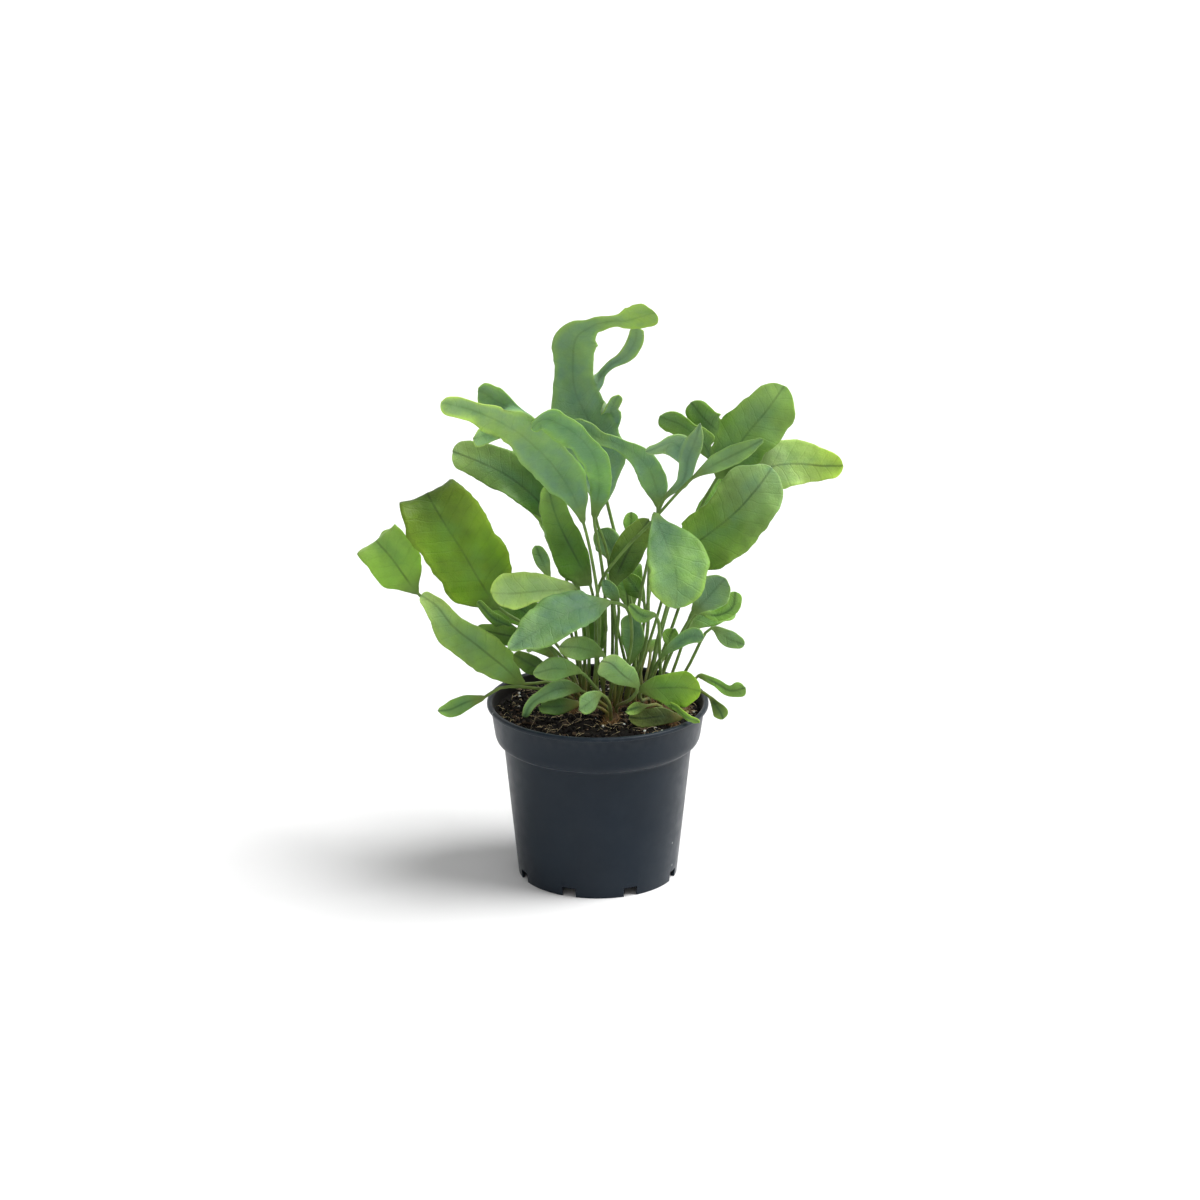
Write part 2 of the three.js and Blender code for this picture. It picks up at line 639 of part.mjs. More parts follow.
    rib: [[-24, -22, 121, 1.5], [-35, -28, 128, 5], [-44, -32, 135, 2.5]],
  },
  {
    name: 'frond_oval_front_left',
    colour: MID_GREEN,
    foot: [6, -12],
    stipe: [[-3, -27, 117]],
    rib: [[-9, -34, 126, 1.5], [-22, -42, 131, 7], [-33, -48.5, 130.5, 3]],
  },
  {
    name: 'frond_under_front_left',
    colour: MID_GREEN,
    foot: [6, -8],
    stipe: [[8, -22, 120]],
    rib: [[3, -30, 134, 1.5], [-8, -36, 140, 7], [-20, -42, 143.5, 4.5]],
  },
  {
    name: 'frond_front_middle',
    colour: LIGHT_GREEN,
    foot: [10, -14],
    stipe: [[17, -33, 110]],
    rib: [[21, -44, 121, 1.5], [13, -50, 131, 8, 9], [6, -55, 139, 7.5, 9], [2, -58, 141, 4.5]],
  },
  {
    name: 'frond_front_right',
    colour: MID_GREEN,
    foot: [28, -2],
    stipe: [[23, -24, 107]],
    rib: [[23, -29, 113.5, 2.5], [35, -33, 117, 9.5, 8], [46.5, -36, 118, 11.5, 9.5], [54.5, -38, 117, 7]],
    lobes: [
      { side: 'right', from: 0.8, to: 1.3, rib: [[40, -37, 108, 2], [46, -38, 103, 2.2], [53, -38, 99, 2]] },
    ],
  },
  {
    name: 'frond_knob_right',
    colour: LIGHT_GREEN,
    foot: [46, -5],
    stipe: [[50, -5, 109]],
    rib: [[54, -6, 114, 1.5], [63, -8, 111, 2], [71, -10, 107, 2.6], [79.5, -12, 109.5, 5.6]],
  },
  {
    name: 'frond_over_rim_right',
    colour: OLIVE_GREEN,
    foot: [41, -11],
    stipe: [[53, -18, 110]],
    rib: [[59.5, -22, 108, 1], [62, -25, 105.5, 1.8], [65.5, -27, 101, 4], [67, -28, 97.5, 3.2]],
  },
  {
    name: 'frond_olive_on_soil',
    colour: OLIVE_GREEN,
    foot: [41, -17],
    stipe: [[48, -24, 100]],
    rib: [[45, -27, 98, 1.5], [34, -28, 99, 4.5], [24, -29, 98, 4.5], [17, -29, 99, 2]],
  },
  {
    name: 'frond_olive_small',
    colour: OLIVE_GREEN,
    foot: [36, -20],
    stipe: [[31, -26, 105]],
    rib: [[26, -31, 106, 1], [21, -34, 106, 3], [16, -36, 105, 1.5]],
  },
  {
    name: 'frond_silver_edged',
    colour: SAGE_GREEN,
    foot: [6, -17],
    stipe: [[-2, -22, 107]],
    rib: [
      [-9, -26, 113, 1.5], [-19, -32, 116, 5], [-29, -37, 114, 4], [-36, -38, 108, 2.5],
      [-39, -33, 100, 1.5],
    ],
  },
  {
    name: 'frond_under_silver',
    colour: MID_GREEN,
    foot: [5, -21],
    stipe: [[-2, -23, 103]],
    rib: [[-9, -24, 104.5, 1.5], [-21, -28, 104.5, 4.5], [-30, -32, 106, 3]],
  },
  {
    name: 'frond_oval_front',
    colour: SAGE_GREEN,
    foot: [7, -25],
    stipe: [[6, -32, 108]],
    rib: [[2, -38, 115, 1.5], [-5, -44, 113, 6.5], [-10.5, -48, 110, 4.5]],
  },
  {
    name: 'frond_drooping_front',
    colour: BLUE_GREEN,
    foot: [16, 0],
    stipe: [[26, -6, 134], [27, -10, 164], [28, -13, 193]],
    rib: [
      [30, -18, 209, 1.5], [32, -23, 203.5, 5, 6], [35.5, -31, 197, 11, 16], [39.5, -38, 188.5, 15, 20],
      [41.5, -43, 177.5, 15.5, 15.5], [40.5, -44, 165, 8],
    ],
    face: [0, -0.2, 1],
  },
  {
    name: 'frond_dark_upright',
    colour: DARK_GREEN,
    foot: [11, 4],
    stipe: [[10, 4, 131]],
    rib: [[8, 4, 159, 1.5], [13, 4, 174, 7.5], [20, 4, 188, 8.5], [27.5, 4, 199, 4.5]],
  },
  {
    name: 'frond_broad_right',
    colour: DARK_GREEN,
    foot: [28, 2],
    stipe: [[31, 3, 126], [38, 6, 153]],
    rib: [
      [43, 9, 178, 2.5], [52.5, 8, 184.5, 18, 13.5], [64, 6, 194, 20.5, 15], [75, 4, 204.5, 20.5, 16.5],
      [84.5, 4, 216, 16, 18], [92.5, 6, 227, 11],
    ],
    wave: 1.8,
  },
  {
    name: 'frond_upper_right',
    colour: MID_GREEN,
    foot: [26, 10],
    stipe: [[36, 12, 140], [45, 18, 172], [55, 22, 199]],
    rib: [
      [64, 24, 216, 2.5], [71, 22, 228, 13, 12], [79.5, 20, 241.5, 15, 16], [89.5, 20, 254, 16.5, 13.5],
      [99, 20, 268, 10.5],
    ],
    lobes: [
      { side: 'left', from: 1.2, to: 1.9, rib: [[57.5, 18, 250.5, 7.5], [49.5, 15, 261, 5]] },
      { side: 'left', from: 0.4, to: 1, rib: [[54, 16, 240.5, 7], [44, 13, 249, 6], [33, 11, 254, 7]] },
    ],
  },
  {
    name: 'frond_twisted',
    colour: SAGE_GREEN,
    foot: [20, 0],
    stipe: [[21, 1, 143], [27, 0, 178]],
    rib: [[35, -3, 212, 1], [45, -6, 223, 3], [48, -8, 237, 4.5], [51, -10, 246, 4], [54, -12, 257, 1]],
    lobes: [{ side: 'left', from: 1.7, to: 2.9, rib: [[38, -13, 247, 7.5], [25, -17, 243, 3]] }],
  },
  {
    name: 'frond_edge_on',
    colour: SAGE_GREEN,
    foot: [0, -2],
    stipe: [[-1, -4, 134], [1, -5, 165], [13, -7, 184], [28, -9, 201]],
    rib: [[50, -13, 227, 1], [62, -17, 236, 4.5], [75, -24, 245, 4.5], [86, -30, 253, 1.5]],
  },
  {
    name: 'frond_far_right',
    colour: LIGHT_GREEN,
    foot: [28, 14],
    stipe: [[40, 22, 131], [54, 30, 169], [69, 34, 195]],
    rib: [
      [82, 36, 214, 2.5], [96, 36, 219.5, 13, 14], [109, 36, 220.5, 12, 13], [121, 34, 220, 8, 9.5],
      [132, 32, 220.5, 5.5],
    ],
  },
  {
    name: 'frond_grey_right',
    colour: SAGE_GREEN,
    foot: [33, -3],
    stipe: [[36, -4, 117]],
    rib: [[51, -4, 148.5, 2], [58.5, -6, 158, 7, 8], [67.5, -8, 169, 10, 9]],
  },
  {
    name: 'frond_strip_right',
    colour: LIGHT_GREEN,
    foot: [36, 0],
    stipe: [[43, 4, 120]],
    rib: [[53.5, 7, 145, 1], [64, 8, 143.5, 2.8], [72.5, 8, 148, 3.6], [74, 8, 157, 3.6]],
  },
  {
    name: 'frond_blue_right',
    colour: BLUE_GREEN,
    foot: [24, -1],
    stipe: [[28, -12, 114]],
    rib: [[33, -20, 128.5, 1], [43, -24, 139.5, 3], [51.5, -28, 145, 4.2], [56.5, -30.5, 145, 4.8]],
  },
  {
    name: 'frond_outer_right',
    colour: SAGE_GREEN,
    foot: [40, -1],
    stipe: [[50, -1, 120]],
    rib: [[61, 0, 139, 1], [70, -2, 134, 4.5], [79, -4, 131, 2.5]],
  },
  {
    name: 'frond_round_right',
    colour: LIGHT_GREEN,
    foot: [32, 1],
    stipe: [],
    rib: [[38, 4, 125, 1], [39, 4, 133, 4], [41, 4, 137, 2.5]],
  },
  {
    name: 'frond_blade_middle',
    colour: BLUE_GREEN,
    foot: [12, 0],
    stipe: [],
    rib: [[17, -2, 119, 1.5], [19.5, -2.5, 133, 5.5, 6.5], [17.5, -3.5, 148, 4, 5]],
  },
  {
    name: 'frond_dark_inner',
    colour: DARK_GREEN,
    foot: [3.5, 3],
    stipe: [[1, 7, 113]],
    rib: [[0, 8, 119, 1.5], [-1, 9, 131, 6], [-1.5, 9, 142, 6.5], [0, 9, 152, 3.5]],
  },
  {
    name: 'frond_cupped_middle',
    colour: MID_GREEN,
    foot: [34, -6],
    stipe: [[33, -18, 133]],
    rib: [[31, -24, 154, 1], [24, -29, 156, 4], [17, -33, 163, 1.5]],
    cup: 0.4,
  },
  {
    name: 'frond_behind_droop',
    colour: DARK_GREEN,
    foot: [22, 7],
    stipe: [[24, 10, 129]],
    rib: [[25, 12, 150, 1], [20, 12, 158, 5], [15, 12, 165, 2.5]],
  },
  {
    name: 'frond_pale_middle',
    colour: SAGE_GREEN,
    foot: [19, 5],
    stipe: [[9, 14, 145]],
    rib: [[9, 16, 168, 1.5], [6, 17, 181, 7.5], [0, 18, 189, 5]],
  },
  {
    name: 'frond_lime_tip',
    colour: LIGHT_GREEN,
    foot: [24, 14],
    stipe: [[16, 18, 155]],
    rib: [[17, 22, 181, 1], [18, 23, 191, 4], [18, 24, 197, 2.5]],
  },
  {
    name: 'frond_small_middle',
    colour: BLUE_GREEN,
    foot: [9, -3],
    stipe: [[10, -5, 134]],
    rib: [[11, -6, 155, 1], [7, -8, 163, 4], [3, -9, 169, 2]],
  },
  {
    name: 'frond_curled_left',
    colour: SAGE_GREEN,
    foot: [-9, 13],
    stipe: [[-15, 11, 135]],
    rib: [[-26, 14, 163, 1.5], [-30, 16, 172, 3.8], [-33.5, 17, 180, 2.6]],
  },
  {
    name: 'frond_back_tall',
    colour: DARK_GREEN,
    foot: [24, 18],
    stipe: [[17, 28, 150], [7, 38, 190]],
    rib: [[2, 41, 210, 2], [-2, 45, 228, 9], [-5, 49, 244, 11.5], [-8, 54, 254, 9], [-12, 59, 258, 5]],
    face: [0.8, -0.5, 0.2],
  },
  {
    name: 'frond_back_high_left',
    colour: LIGHT_GREEN,
    foot: [-8, 18],
    stipe: [[-14, 28, 140]],
    rib: [[-22, 36, 176, 2], [-34, 46, 200, 9], [-48, 54, 212, 10], [-60, 62, 214, 8], [-68, 66, 210, 5]],
  },
  {
    name: 'frond_back_high_right',
    colour: MID_GREEN,
    foot: [28, 18],
    stipe: [[40, 33, 145]],
    rib: [[51, 42, 170, 2], [64, 48, 188, 11], [76, 56, 200, 12], [86, 62, 204, 8], [92, 65, 202, 4.5]],
  },
  {
    name: 'frond_back_left',
    colour: DARK_GREEN,
    foot: [-7, 22],
    stipe: [[-8, 32, 130]],
    rib: [[-12, 41, 150, 2], [-18, 47, 168, 8], [-25, 53, 180, 9], [-32, 59, 184, 6]],
    face: [-0.8, -0.5, 0.3],
  },
  {
    name: 'frond_back_right',
    colour: MID_GREEN,
    foot: [22, 26],
    stipe: [[32, 40, 130]],
    rib: [[38, 45, 148, 2], [46, 51, 160, 8], [54, 57, 166, 8], [61, 62, 164, 5]],
  },
  {
    name: 'frond_back_middle',
    colour: DARK_GREEN,
    foot: [23, 22],
    stipe: [[20, 34, 118]],
    rib: [[18, 44, 134, 2], [16, 52, 148, 9], [14, 60, 152, 11], [12, 67, 146, 8], [11, 70, 139, 5]],
  },
  {
    name: 'frond_back_low_left',
    colour: DARK_GREEN,
    foot: [-11, 20],
    stipe: [[-18, 32, 112]],
    rib: [[-28, 41, 122, 2], [-40, 48, 132, 9], [-53, 56, 134, 10], [-63, 60, 130, 6]],
  },
  {
    name: 'frond_back_low_right',
    colour: MID_GREEN,
    foot: [27, 22],
    stipe: [[38, 36, 112]],
    rib: [[48, 44, 122, 2], [59, 50, 130, 8], [69, 56, 131, 8], [76, 59, 127, 5]],
  },
  {
    name: 'frond_back_small_left',
    colour: MID_GREEN,
    foot: [-12, 14],
    stipe: [[-18, 24, 104]],
    rib: [[-24, 34, 110, 1.5], [-32, 44, 114, 5], [-39, 50, 110, 3]],
  },
  {
    name: 'frond_back_small_right',
    colour: LIGHT_GREEN,
    foot: [26, 26],
    stipe: [[28, 37, 104]],
    rib: [[29, 44, 110, 1.5], [28, 52, 114, 5], [26, 60, 109, 3]],
  },
];

// ---- The whole plant -------------------------------------------------------------------

const fern = new THREE.Group();
fern.add(pot(), soil(), rhizome(FRONDS.map((frond) => frond.foot)));
for (const frond of FRONDS) fern.add(namedMesh(frond.name, frondGeometry(frond), frond.colour.clone()));

export default fern;
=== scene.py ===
"""A potted fern: tall, lobed, blue-green fronds on thin stalks, in a dark plastic nursery pot.

The tables of the fronds are in millimetres, and everything that goes to Blender is in metres. The front of the
plant looks along -Y, its right-hand side seen from there is +X, and the pot's foot ring stands on z = 0.
"""

import json
import math

import bpy
import numpy as np
from bpy.props import EnumProperty, FloatProperty, FloatVectorProperty, IntProperty, PointerProperty
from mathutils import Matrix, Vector, noise

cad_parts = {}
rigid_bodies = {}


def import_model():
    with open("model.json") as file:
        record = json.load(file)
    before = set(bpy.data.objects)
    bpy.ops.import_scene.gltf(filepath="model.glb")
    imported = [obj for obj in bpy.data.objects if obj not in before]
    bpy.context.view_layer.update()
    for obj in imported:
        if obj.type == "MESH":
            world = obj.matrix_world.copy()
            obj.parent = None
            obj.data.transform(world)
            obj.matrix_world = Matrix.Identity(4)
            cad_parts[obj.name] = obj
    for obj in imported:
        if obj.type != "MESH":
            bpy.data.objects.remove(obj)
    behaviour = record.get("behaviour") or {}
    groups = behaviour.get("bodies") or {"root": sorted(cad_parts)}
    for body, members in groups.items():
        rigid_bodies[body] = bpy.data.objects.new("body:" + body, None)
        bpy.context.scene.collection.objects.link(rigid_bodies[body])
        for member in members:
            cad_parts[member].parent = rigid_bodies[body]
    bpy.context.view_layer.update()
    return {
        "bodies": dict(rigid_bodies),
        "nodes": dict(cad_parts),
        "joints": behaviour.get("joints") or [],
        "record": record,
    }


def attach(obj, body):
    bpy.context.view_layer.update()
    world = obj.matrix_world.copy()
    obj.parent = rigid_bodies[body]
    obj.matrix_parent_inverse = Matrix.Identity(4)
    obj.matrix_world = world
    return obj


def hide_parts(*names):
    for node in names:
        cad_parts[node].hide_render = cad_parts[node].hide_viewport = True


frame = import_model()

bl_info = {
    "name": "Potted Fern",
    "version": (1, 0, 0),
    "blender": (4, 5, 0),
    "location": "3D View > Sidebar > Potted Fern",
    "description": "Builds a fern with lobed, blue-green fronds in a dark plastic nursery pot",
    "category": "Add Mesh",
}

MM = 0.001


# ---- Settings ----------------------------------------------------------------------------------------------

def paint(code):
    """A colour of the settings, from the six hexadecimal digits that show it on a screen."""
    shares = [int(code[i:i + 2], 16) / 255 for i in (0, 2, 4)]
    return tuple(s / 12.92 if s <= 0.04045 else ((s + 0.055) / 1.055) ** 2.4 for s in shares)


def length(name, description, default):
    return FloatProperty(name=name, description=description, default=default * MM, min=0, precision=4,
                         subtype="DISTANCE", unit="LENGTH")


def colour(name, description, code):
    return FloatVectorProperty(name=name, description=description, default=paint(code), size=3, min=0, max=1,
                               subtype="COLOR")


def count(name, description, default):
    return IntProperty(name=name, description=description, default=default, min=0)


def share(name, description, default):
    return FloatProperty(name=name, description=description, default=default, min=0, max=1, subtype="FACTOR")


class PotSettings(bpy.types.PropertyGroup):
    height: length("Height", "From the ground to the top of the lip", 98)
    rim_radius: length("Rim radius", "Outside of the lip", 60)
    collar_radius: length("Collar radius", "Outside of the collar under the lip", 58)
    collar_foot_radius: length("Collar foot radius", "Outside of the collar above the step", 55.6)
    body_radius: length("Body radius", "Outside of the tapered body under the step", 51)
    foot_radius: length("Foot radius", "Outside of the foot ring", 43.3)
    wall: length("Wall", "Thickness of the moulded wall", 1.1)
    notch_width: length("Notch width", "Width of each drainage notch in the foot ring", 7.7)
    notch_height: length("Notch height", "Height of each drainage notch", 5.2)
    segments: count("Segments", "Flat strips around the pot", 176)
    plastic: colour("Plastic", "Colour of the pot", "061724")
    plastic_roughness: share("Roughness", "Roughness of the plastic", 0.4)
    dust: colour("Dust", "Colour of the dust on the pot", "8c8f8e")
    # Peat on the inside of the pot's wall, laid on nearly black as painted shade above the soil.
    stain_and_shade: colour("Stain", "Colour of the peat that clings to the inside", "120d08")


class SoilSettings(bpy.types.PropertyGroup):
    edge_level: length("Edge level", "Height of the soil at the wall", 91)
    crown_level: length("Crown level", "Height of the soil in the middle", 93)
    crumbs: count("Crumbs", "Loose crumbs on the soil", 1500)
    bark_chips: count("Bark chips", "Chips of bark on the soil", 150)
    perlite_grains: count("Perlite grains", "White grains on the soil", 60)
    fibres: count("Fibres", "Straw and root fibres on the soil", 520)
    peat: colour("Peat", "Colour of the potting mix", "130e0a")
    bark: colour("Bark", "Colour of the bark chips", "4a3a2a")
    perlite: colour("Perlite", "Colour of the white grains", "e4e1d8")
    straw: colour("Straw", "Colour of the fibres", "d9c79b")


class RhizomeSettings(bpy.types.PropertyGroup):
    radius: length("Radius", "Radius of the creeping stem", 4.4)
    level: length("Level", "Height of its centre line", 92)
    scales: count("Scales", "Golden scales on the creeping stem", 2600)
    skin: colour("Skin", "Colour of the creeping stem", "5d4526")
    scale_colour: colour("Scale colour", "Colour of its golden scales", "8f6f40")


class FrondSettings(bpy.types.PropertyGroup):
    blade: length("Blade", "Thickness of a blade between its veins", 0.45)
    fullness: length("Fullness", "How much a blade's margin spreads beyond its plain outline", 0.9)
    midrib: length("Midrib", "How far the midrib stands out under the blade", 0.55)
    ruffle: length("Ruffle", "Height of the small waves of a margin", 3.2)
    raggedness: share("Raggedness", "How far a margin strays, as a share of the half-width", 0.12)
    unevenness: length("Unevenness", "How far a blade strays from its smooth form", 1.05)
    vein_spacing: length("Vein spacing", "Distance between the side veins of a blade", 6.5)
    blue: colour("Blue-green", "Fronds under a waxy bloom", "74a052")
    mid: colour("Mid green", "Ordinary fronds", "5d872b")
    dark: colour("Dark green", "Shaded and mature fronds", "456f10")
    light: colour("Light green", "Young fronds and thin tips", "7fac44")
    sage: colour("Sage green", "Greyish fronds", "7da05a")
    olive: colour("Olive green", "Old fronds on the soil", "4a5e24")
    tip: colour("Tip", "Colour that the ends of the fronds turn to", "9dc456")
    bloom: colour("Bloom", "Colour of the waxy bloom on the blades", "658c6c")
    # Painted shade along the midrib, dark and bluish.
    midrib_shade: colour("Flesh", "Colour of the thick flesh along the midrib", "3f6f4a")
    rib: colour("Rib", "Colour of the veins", "2f4a1c")
    stalk: colour("Stalk", "Colour of the stalks", "66823f")
    stalk_foot: colour("Stalk foot", "Colour of the stalks near the soil", "6a5a2c")


class StageSettings(bpy.types.PropertyGroup):
    floor: colour("Floor", "Colour of the floor and the backdrop", "e9e9e9")
    key: FloatProperty(name="Key light", description="Strength of the light from the right", default=4.3)
    fill: FloatProperty(name="Fill light", description="Strength of the light from the front", default=0.78)
    daylight: FloatProperty(name="Daylight", description="Strength of the light from all around", default=0.21)


# ---- Node helpers ------------------------------------------------------------------------------------------

def add(tree, kind, feed=None, **settings):
    """A new node. feed gives its inputs, by name or number, as values or as sockets to link."""
    made = tree.nodes.new(kind)
    for name, value in settings.items():
        setattr(made, name, value)
    for key, value in (feed or {}).items():
        if isinstance(value, bpy.types.NodeSocket):
            tree.links.new(value, made.inputs[key])
        else:
            made.inputs[key].default_value = value
    return made


def calc(tree, operation, *values):
    return add(tree, "ShaderNodeMath", dict(enumerate(values)), operation=operation).outputs[0]


def times(tree, product, *factors):
    """Values and sockets multiplied, from the first to the last."""
    for factor in factors:
        product = calc(tree, "MULTIPLY", product, factor)
    return product


def plus(tree, total, *others):
    """Values and sockets added up, from the first to the last."""
    for other in others:
        total = calc(tree, "ADD", total, other)
    return total


def ramp(tree, value, low, high, to_low=0.0, to_high=1.0):
    """A smooth step from to_low to to_high while value goes from low to high."""
    feed = dict(enumerate((value, low, high, to_low, to_high)))
    return add(tree, "ShaderNodeMapRange", feed, interpolation_type="SMOOTHSTEP").outputs[0]


def blend(tree, amount, first, second, mode="MIX"):
    """Two colours mixed, each of them a socket or three numbers."""
    first, second = (c if isinstance(c, bpy.types.NodeSocket) else (*c, 1.0) for c in (first, second))
    return add(tree, "ShaderNodeMix", {0: amount, 6: first, 7: second}, data_type="RGBA",
               blend_type=mode).outputs[2]


def brighten(tree, factor, tone):
    """A colour multiplied by a number."""
    grey = add(tree, "ShaderNodeCombineColor", {0: factor, 1: factor, 2: factor}).outputs[0]
    return blend(tree, 1.0, tone, grey, "MULTIPLY")


def triple(tree, **parts):
    """A vector from its x, y and z, where a part that isn't given is 0."""
    return add(tree, "ShaderNodeCombineXYZ", {key.upper(): part for key, part in parts.items()}).outputs[0]


def height_of(tree, spot):
    return add(tree, "ShaderNodeSeparateXYZ", {0: spot}).outputs[2]


def stretched(tree, spot, factors):
    return add(tree, "ShaderNodeVectorMath", {0: spot, 1: factors}, operation="MULTIPLY").outputs[0]


def from_axis(tree, spot):
    """How far a place is from the pot's axis."""
    flat = stretched(tree, spot, (1, 1, 0))
    return add(tree, "ShaderNodeVectorMath", {0: flat}, operation="LENGTH").outputs["Value"]


def waves(tree, spot, scale, detail):
    return add(tree, "ShaderNodeTexNoise", {"Vector": spot, "Scale": scale, "Detail": detail}).outputs[0]


def cells(tree, spot, scale, **settings):
    """How far a place is from the middle of its cell or, by a setting, from the cell's edge."""
    return add(tree, "ShaderNodeTexVoronoi", {"Vector": spot, "Scale": scale}, **settings).outputs["Distance"]


def new_group(name, kind, inputs, outputs):
    """A node group with its sockets. inputs and outputs are lists of (name, socket type[, default])."""
    tree = bpy.data.node_groups.new(name, kind)
    for label, socket, *default in inputs:
        made = tree.interface.new_socket(label, in_out="INPUT", socket_type="NodeSocket" + socket)
        if default:
            made.default_value = default[0]
    for label, socket in outputs:
        tree.interface.new_socket(label, in_out="OUTPUT", socket_type="NodeSocket" + socket)
    return tree, tree.nodes.new("NodeGroupInput").outputs, tree.nodes.new("NodeGroupOutput").inputs


# ---- Shared shader effects ---------------------------------------------------------------------------------

def cloud_effect():
    """Soft variation over a surface, from Low to High in patches of about Size."""
    tree, given, out = new_group(
        "soft_clouds", "ShaderNodeTree",
        [("Vector", "Vector"), ("Size", "Float", 0.01), ("Low", "Float", 0.0), ("High", "Float", 1.0)],
        [("Value", "Float")])
    swell = waves(tree, given["Vector"], calc(tree, "DIVIDE", 1.0, given["Size"]), 3.0)
    tree.links.new(ramp(tree, swell, 0.32, 0.68, given["Low"], given["High"]), out["Value"])


def fleck_effect():
    """Small separate flecks: Mask is 1 inside a fleck. Share says how many of the cells have one."""
    tree, given, out = new_group(
        "flecks", "ShaderNodeTree",
        [("Vector", "Vector"), ("Size", "Float", 0.001), ("Share", "Float", 0.3)],
        [("Mask", "Float")])
    scale = calc(tree, "DIVIDE", 0.4, given["Size"])
    grid = add(tree, "ShaderNodeTexVoronoi", {"Vector": given["Vector"], "Scale": scale}).outputs
    drawn = add(tree, "ShaderNodeSeparateColor", {0: grid["Color"]}).outputs[0]
    chosen = calc(tree, "LESS_THAN", drawn, given["Share"])
    tree.links.new(times(tree, chosen, ramp(tree, grid["Distance"], 0.14, 0.24, 1.0, 0.0)), out["Mask"])


def vein_effect():
    """The veins of a blade from its own measure: Across its midrib and Along it, both in metres."""
    tree, given, out = new_group(
        "blade_veins", "ShaderNodeTree",
        [("Across", "Float"), ("Along", "Float"), ("Spacing", "Float", 0.0065), ("Rib Width", "Float", 0.0006)],
        [("Rib", "Float"), ("Side Veins", "Float"), ("Net", "Float")])
    plane = triple(tree, x=given["Across"], y=given["Along"])
    away = calc(tree, "ABSOLUTE", given["Across"])
    half = times(tree, given["Rib Width"], 0.5)
    tree.links.new(ramp(tree, calc(tree, "DIVIDE", away, half), 0.35, 1.6, 1.0, 0.0), out["Rib"])
    # Side veins leave the midrib forwards and bend on the way, each side half a step from the other.
    forward = times(tree, calc(tree, "POWER", away, 0.85), -0.32)
    stray = times(tree, waves(tree, plane, 110.0, 2.0), 0.004)
    place = plus(tree, given["Along"], forward, stray)
    side = times(tree, calc(tree, "SIGN", given["Across"]), 0.25)
    turns = plus(tree, calc(tree, "DIVIDE", place, given["Spacing"]), side)
    near = calc(tree, "PINGPONG", turns, 0.5)
    tree.links.new(ramp(tree, near, 0.015, 0.10, 1.0, 0.0), out["Side Veins"])
    edge = cells(tree, plane, 620.0, feature="DISTANCE_TO_EDGE")
    tree.links.new(ramp(tree, edge, 0.02, 0.16, 1.0, 0.0), out["Net"])


def effect(tree, name, feed):
    """Places one of the shared groups in a material."""
    return add(tree, "ShaderNodeGroup", feed, node_tree=bpy.data.node_groups[name]).outputs


def clouds(tree, spot, size, low, high):
    return effect(tree, "soft_clouds", {"Vector": spot, "Size": size, "Low": low, "High": high})["Value"]


def flecks(tree, spot, size, portion):
    return effect(tree, "flecks", {"Vector": spot, "Size": size, "Share": portion})["Mask"]


# ---- Materials ---------------------------------------------------------------------------------------------

def new_material(name, **constants):
    """A material with its Principled shader, whose plain sockets are set by name, with _ for a space."""
    made = bpy.data.materials.new(name)
    made.use_nodes = True
    shader = made.node_tree.nodes["Principled BSDF"]
    for key, value in constants.items():
        shader.inputs[key.replace("_", " ").title().replace("Ior", "IOR")].default_value = value
    return made, made.node_tree, shader


def finish(tree, shader, tone, roughness=None, height=None, depth=0.0003, strength=0.5):
    """Links a material's colour, roughness and relief to its shader."""
    tree.links.new(tone, shader.inputs["Base Color"])
    if roughness is not None:
        tree.links.new(roughness, shader.inputs["Roughness"])
    if height is not None:
        bump = add(tree, "ShaderNodeBump", {"Height": height, "Distance": depth, "Strength": strength})
        tree.links.new(bump.outputs[0], shader.inputs["Normal"])


def place_of(tree):
    return add(tree, "ShaderNodeTexCoord").outputs["Object"]


def pot_material(pot):
    made, tree, shader = new_material("slate_plastic", specular_ior_level=0.22, sheen_weight=0.12,
                                      sheen_roughness=0.35)
    spot = place_of(tree)
    height = height_of(tree, spot)
    tone = brighten(tree, clouds(tree, spot, 0.03, 0.93, 1.07), pot.plastic)
    haze = times(tree, clouds(tree, spot, 0.012, 0.0, 1.0), 0.008)
    splash = times(tree, ramp(tree, height, pot.height * 0.86, pot.height, 0.004, 0.04),
                   clouds(tree, spot, 0.004, 0.2, 1.0))
    dusty = plus(tree, haze, splash)
    tone = blend(tree, dusty, tone, pot.dust)
    # Wet peat clings to the inside of the leaning wall, above the soil, and painted shade darkens it there
    # nearly to black.
    lean, stain_and_shade_start, stain_and_shade_full = 0.147, 0.0805, 0.083
    outer = calc(tree, "MULTIPLY_ADD", height, lean, pot.collar_radius - lean * pot.height)
    inside = ramp(tree, calc(tree, "SUBTRACT", from_axis(tree, spot), outer), -0.0008, -0.0002, 0.92, 0.0)
    stained_and_shaded = times(tree, inside, ramp(tree, height, stain_and_shade_start, stain_and_shade_full))
    tone = blend(tree, stained_and_shaded, tone, pot.stain_and_shade)
    tone = blend(tree, times(tree, flecks(tree, spot, 0.0016, 0.012), 0.75), tone, pot.dust)
    rough = plus(tree, clouds(tree, spot, 0.006, -0.03, 0.05), pot.plastic_roughness, times(tree, dusty, 1.2))
    grain = times(tree, waves(tree, spot, 2600.0, 2.0), 0.25)
    relief = plus(tree, grain, clouds(tree, spot, 0.02, 0.0, 1.0))
    finish(tree, shader, tone, rough, relief, depth=0.00012, strength=0.35)
    return made


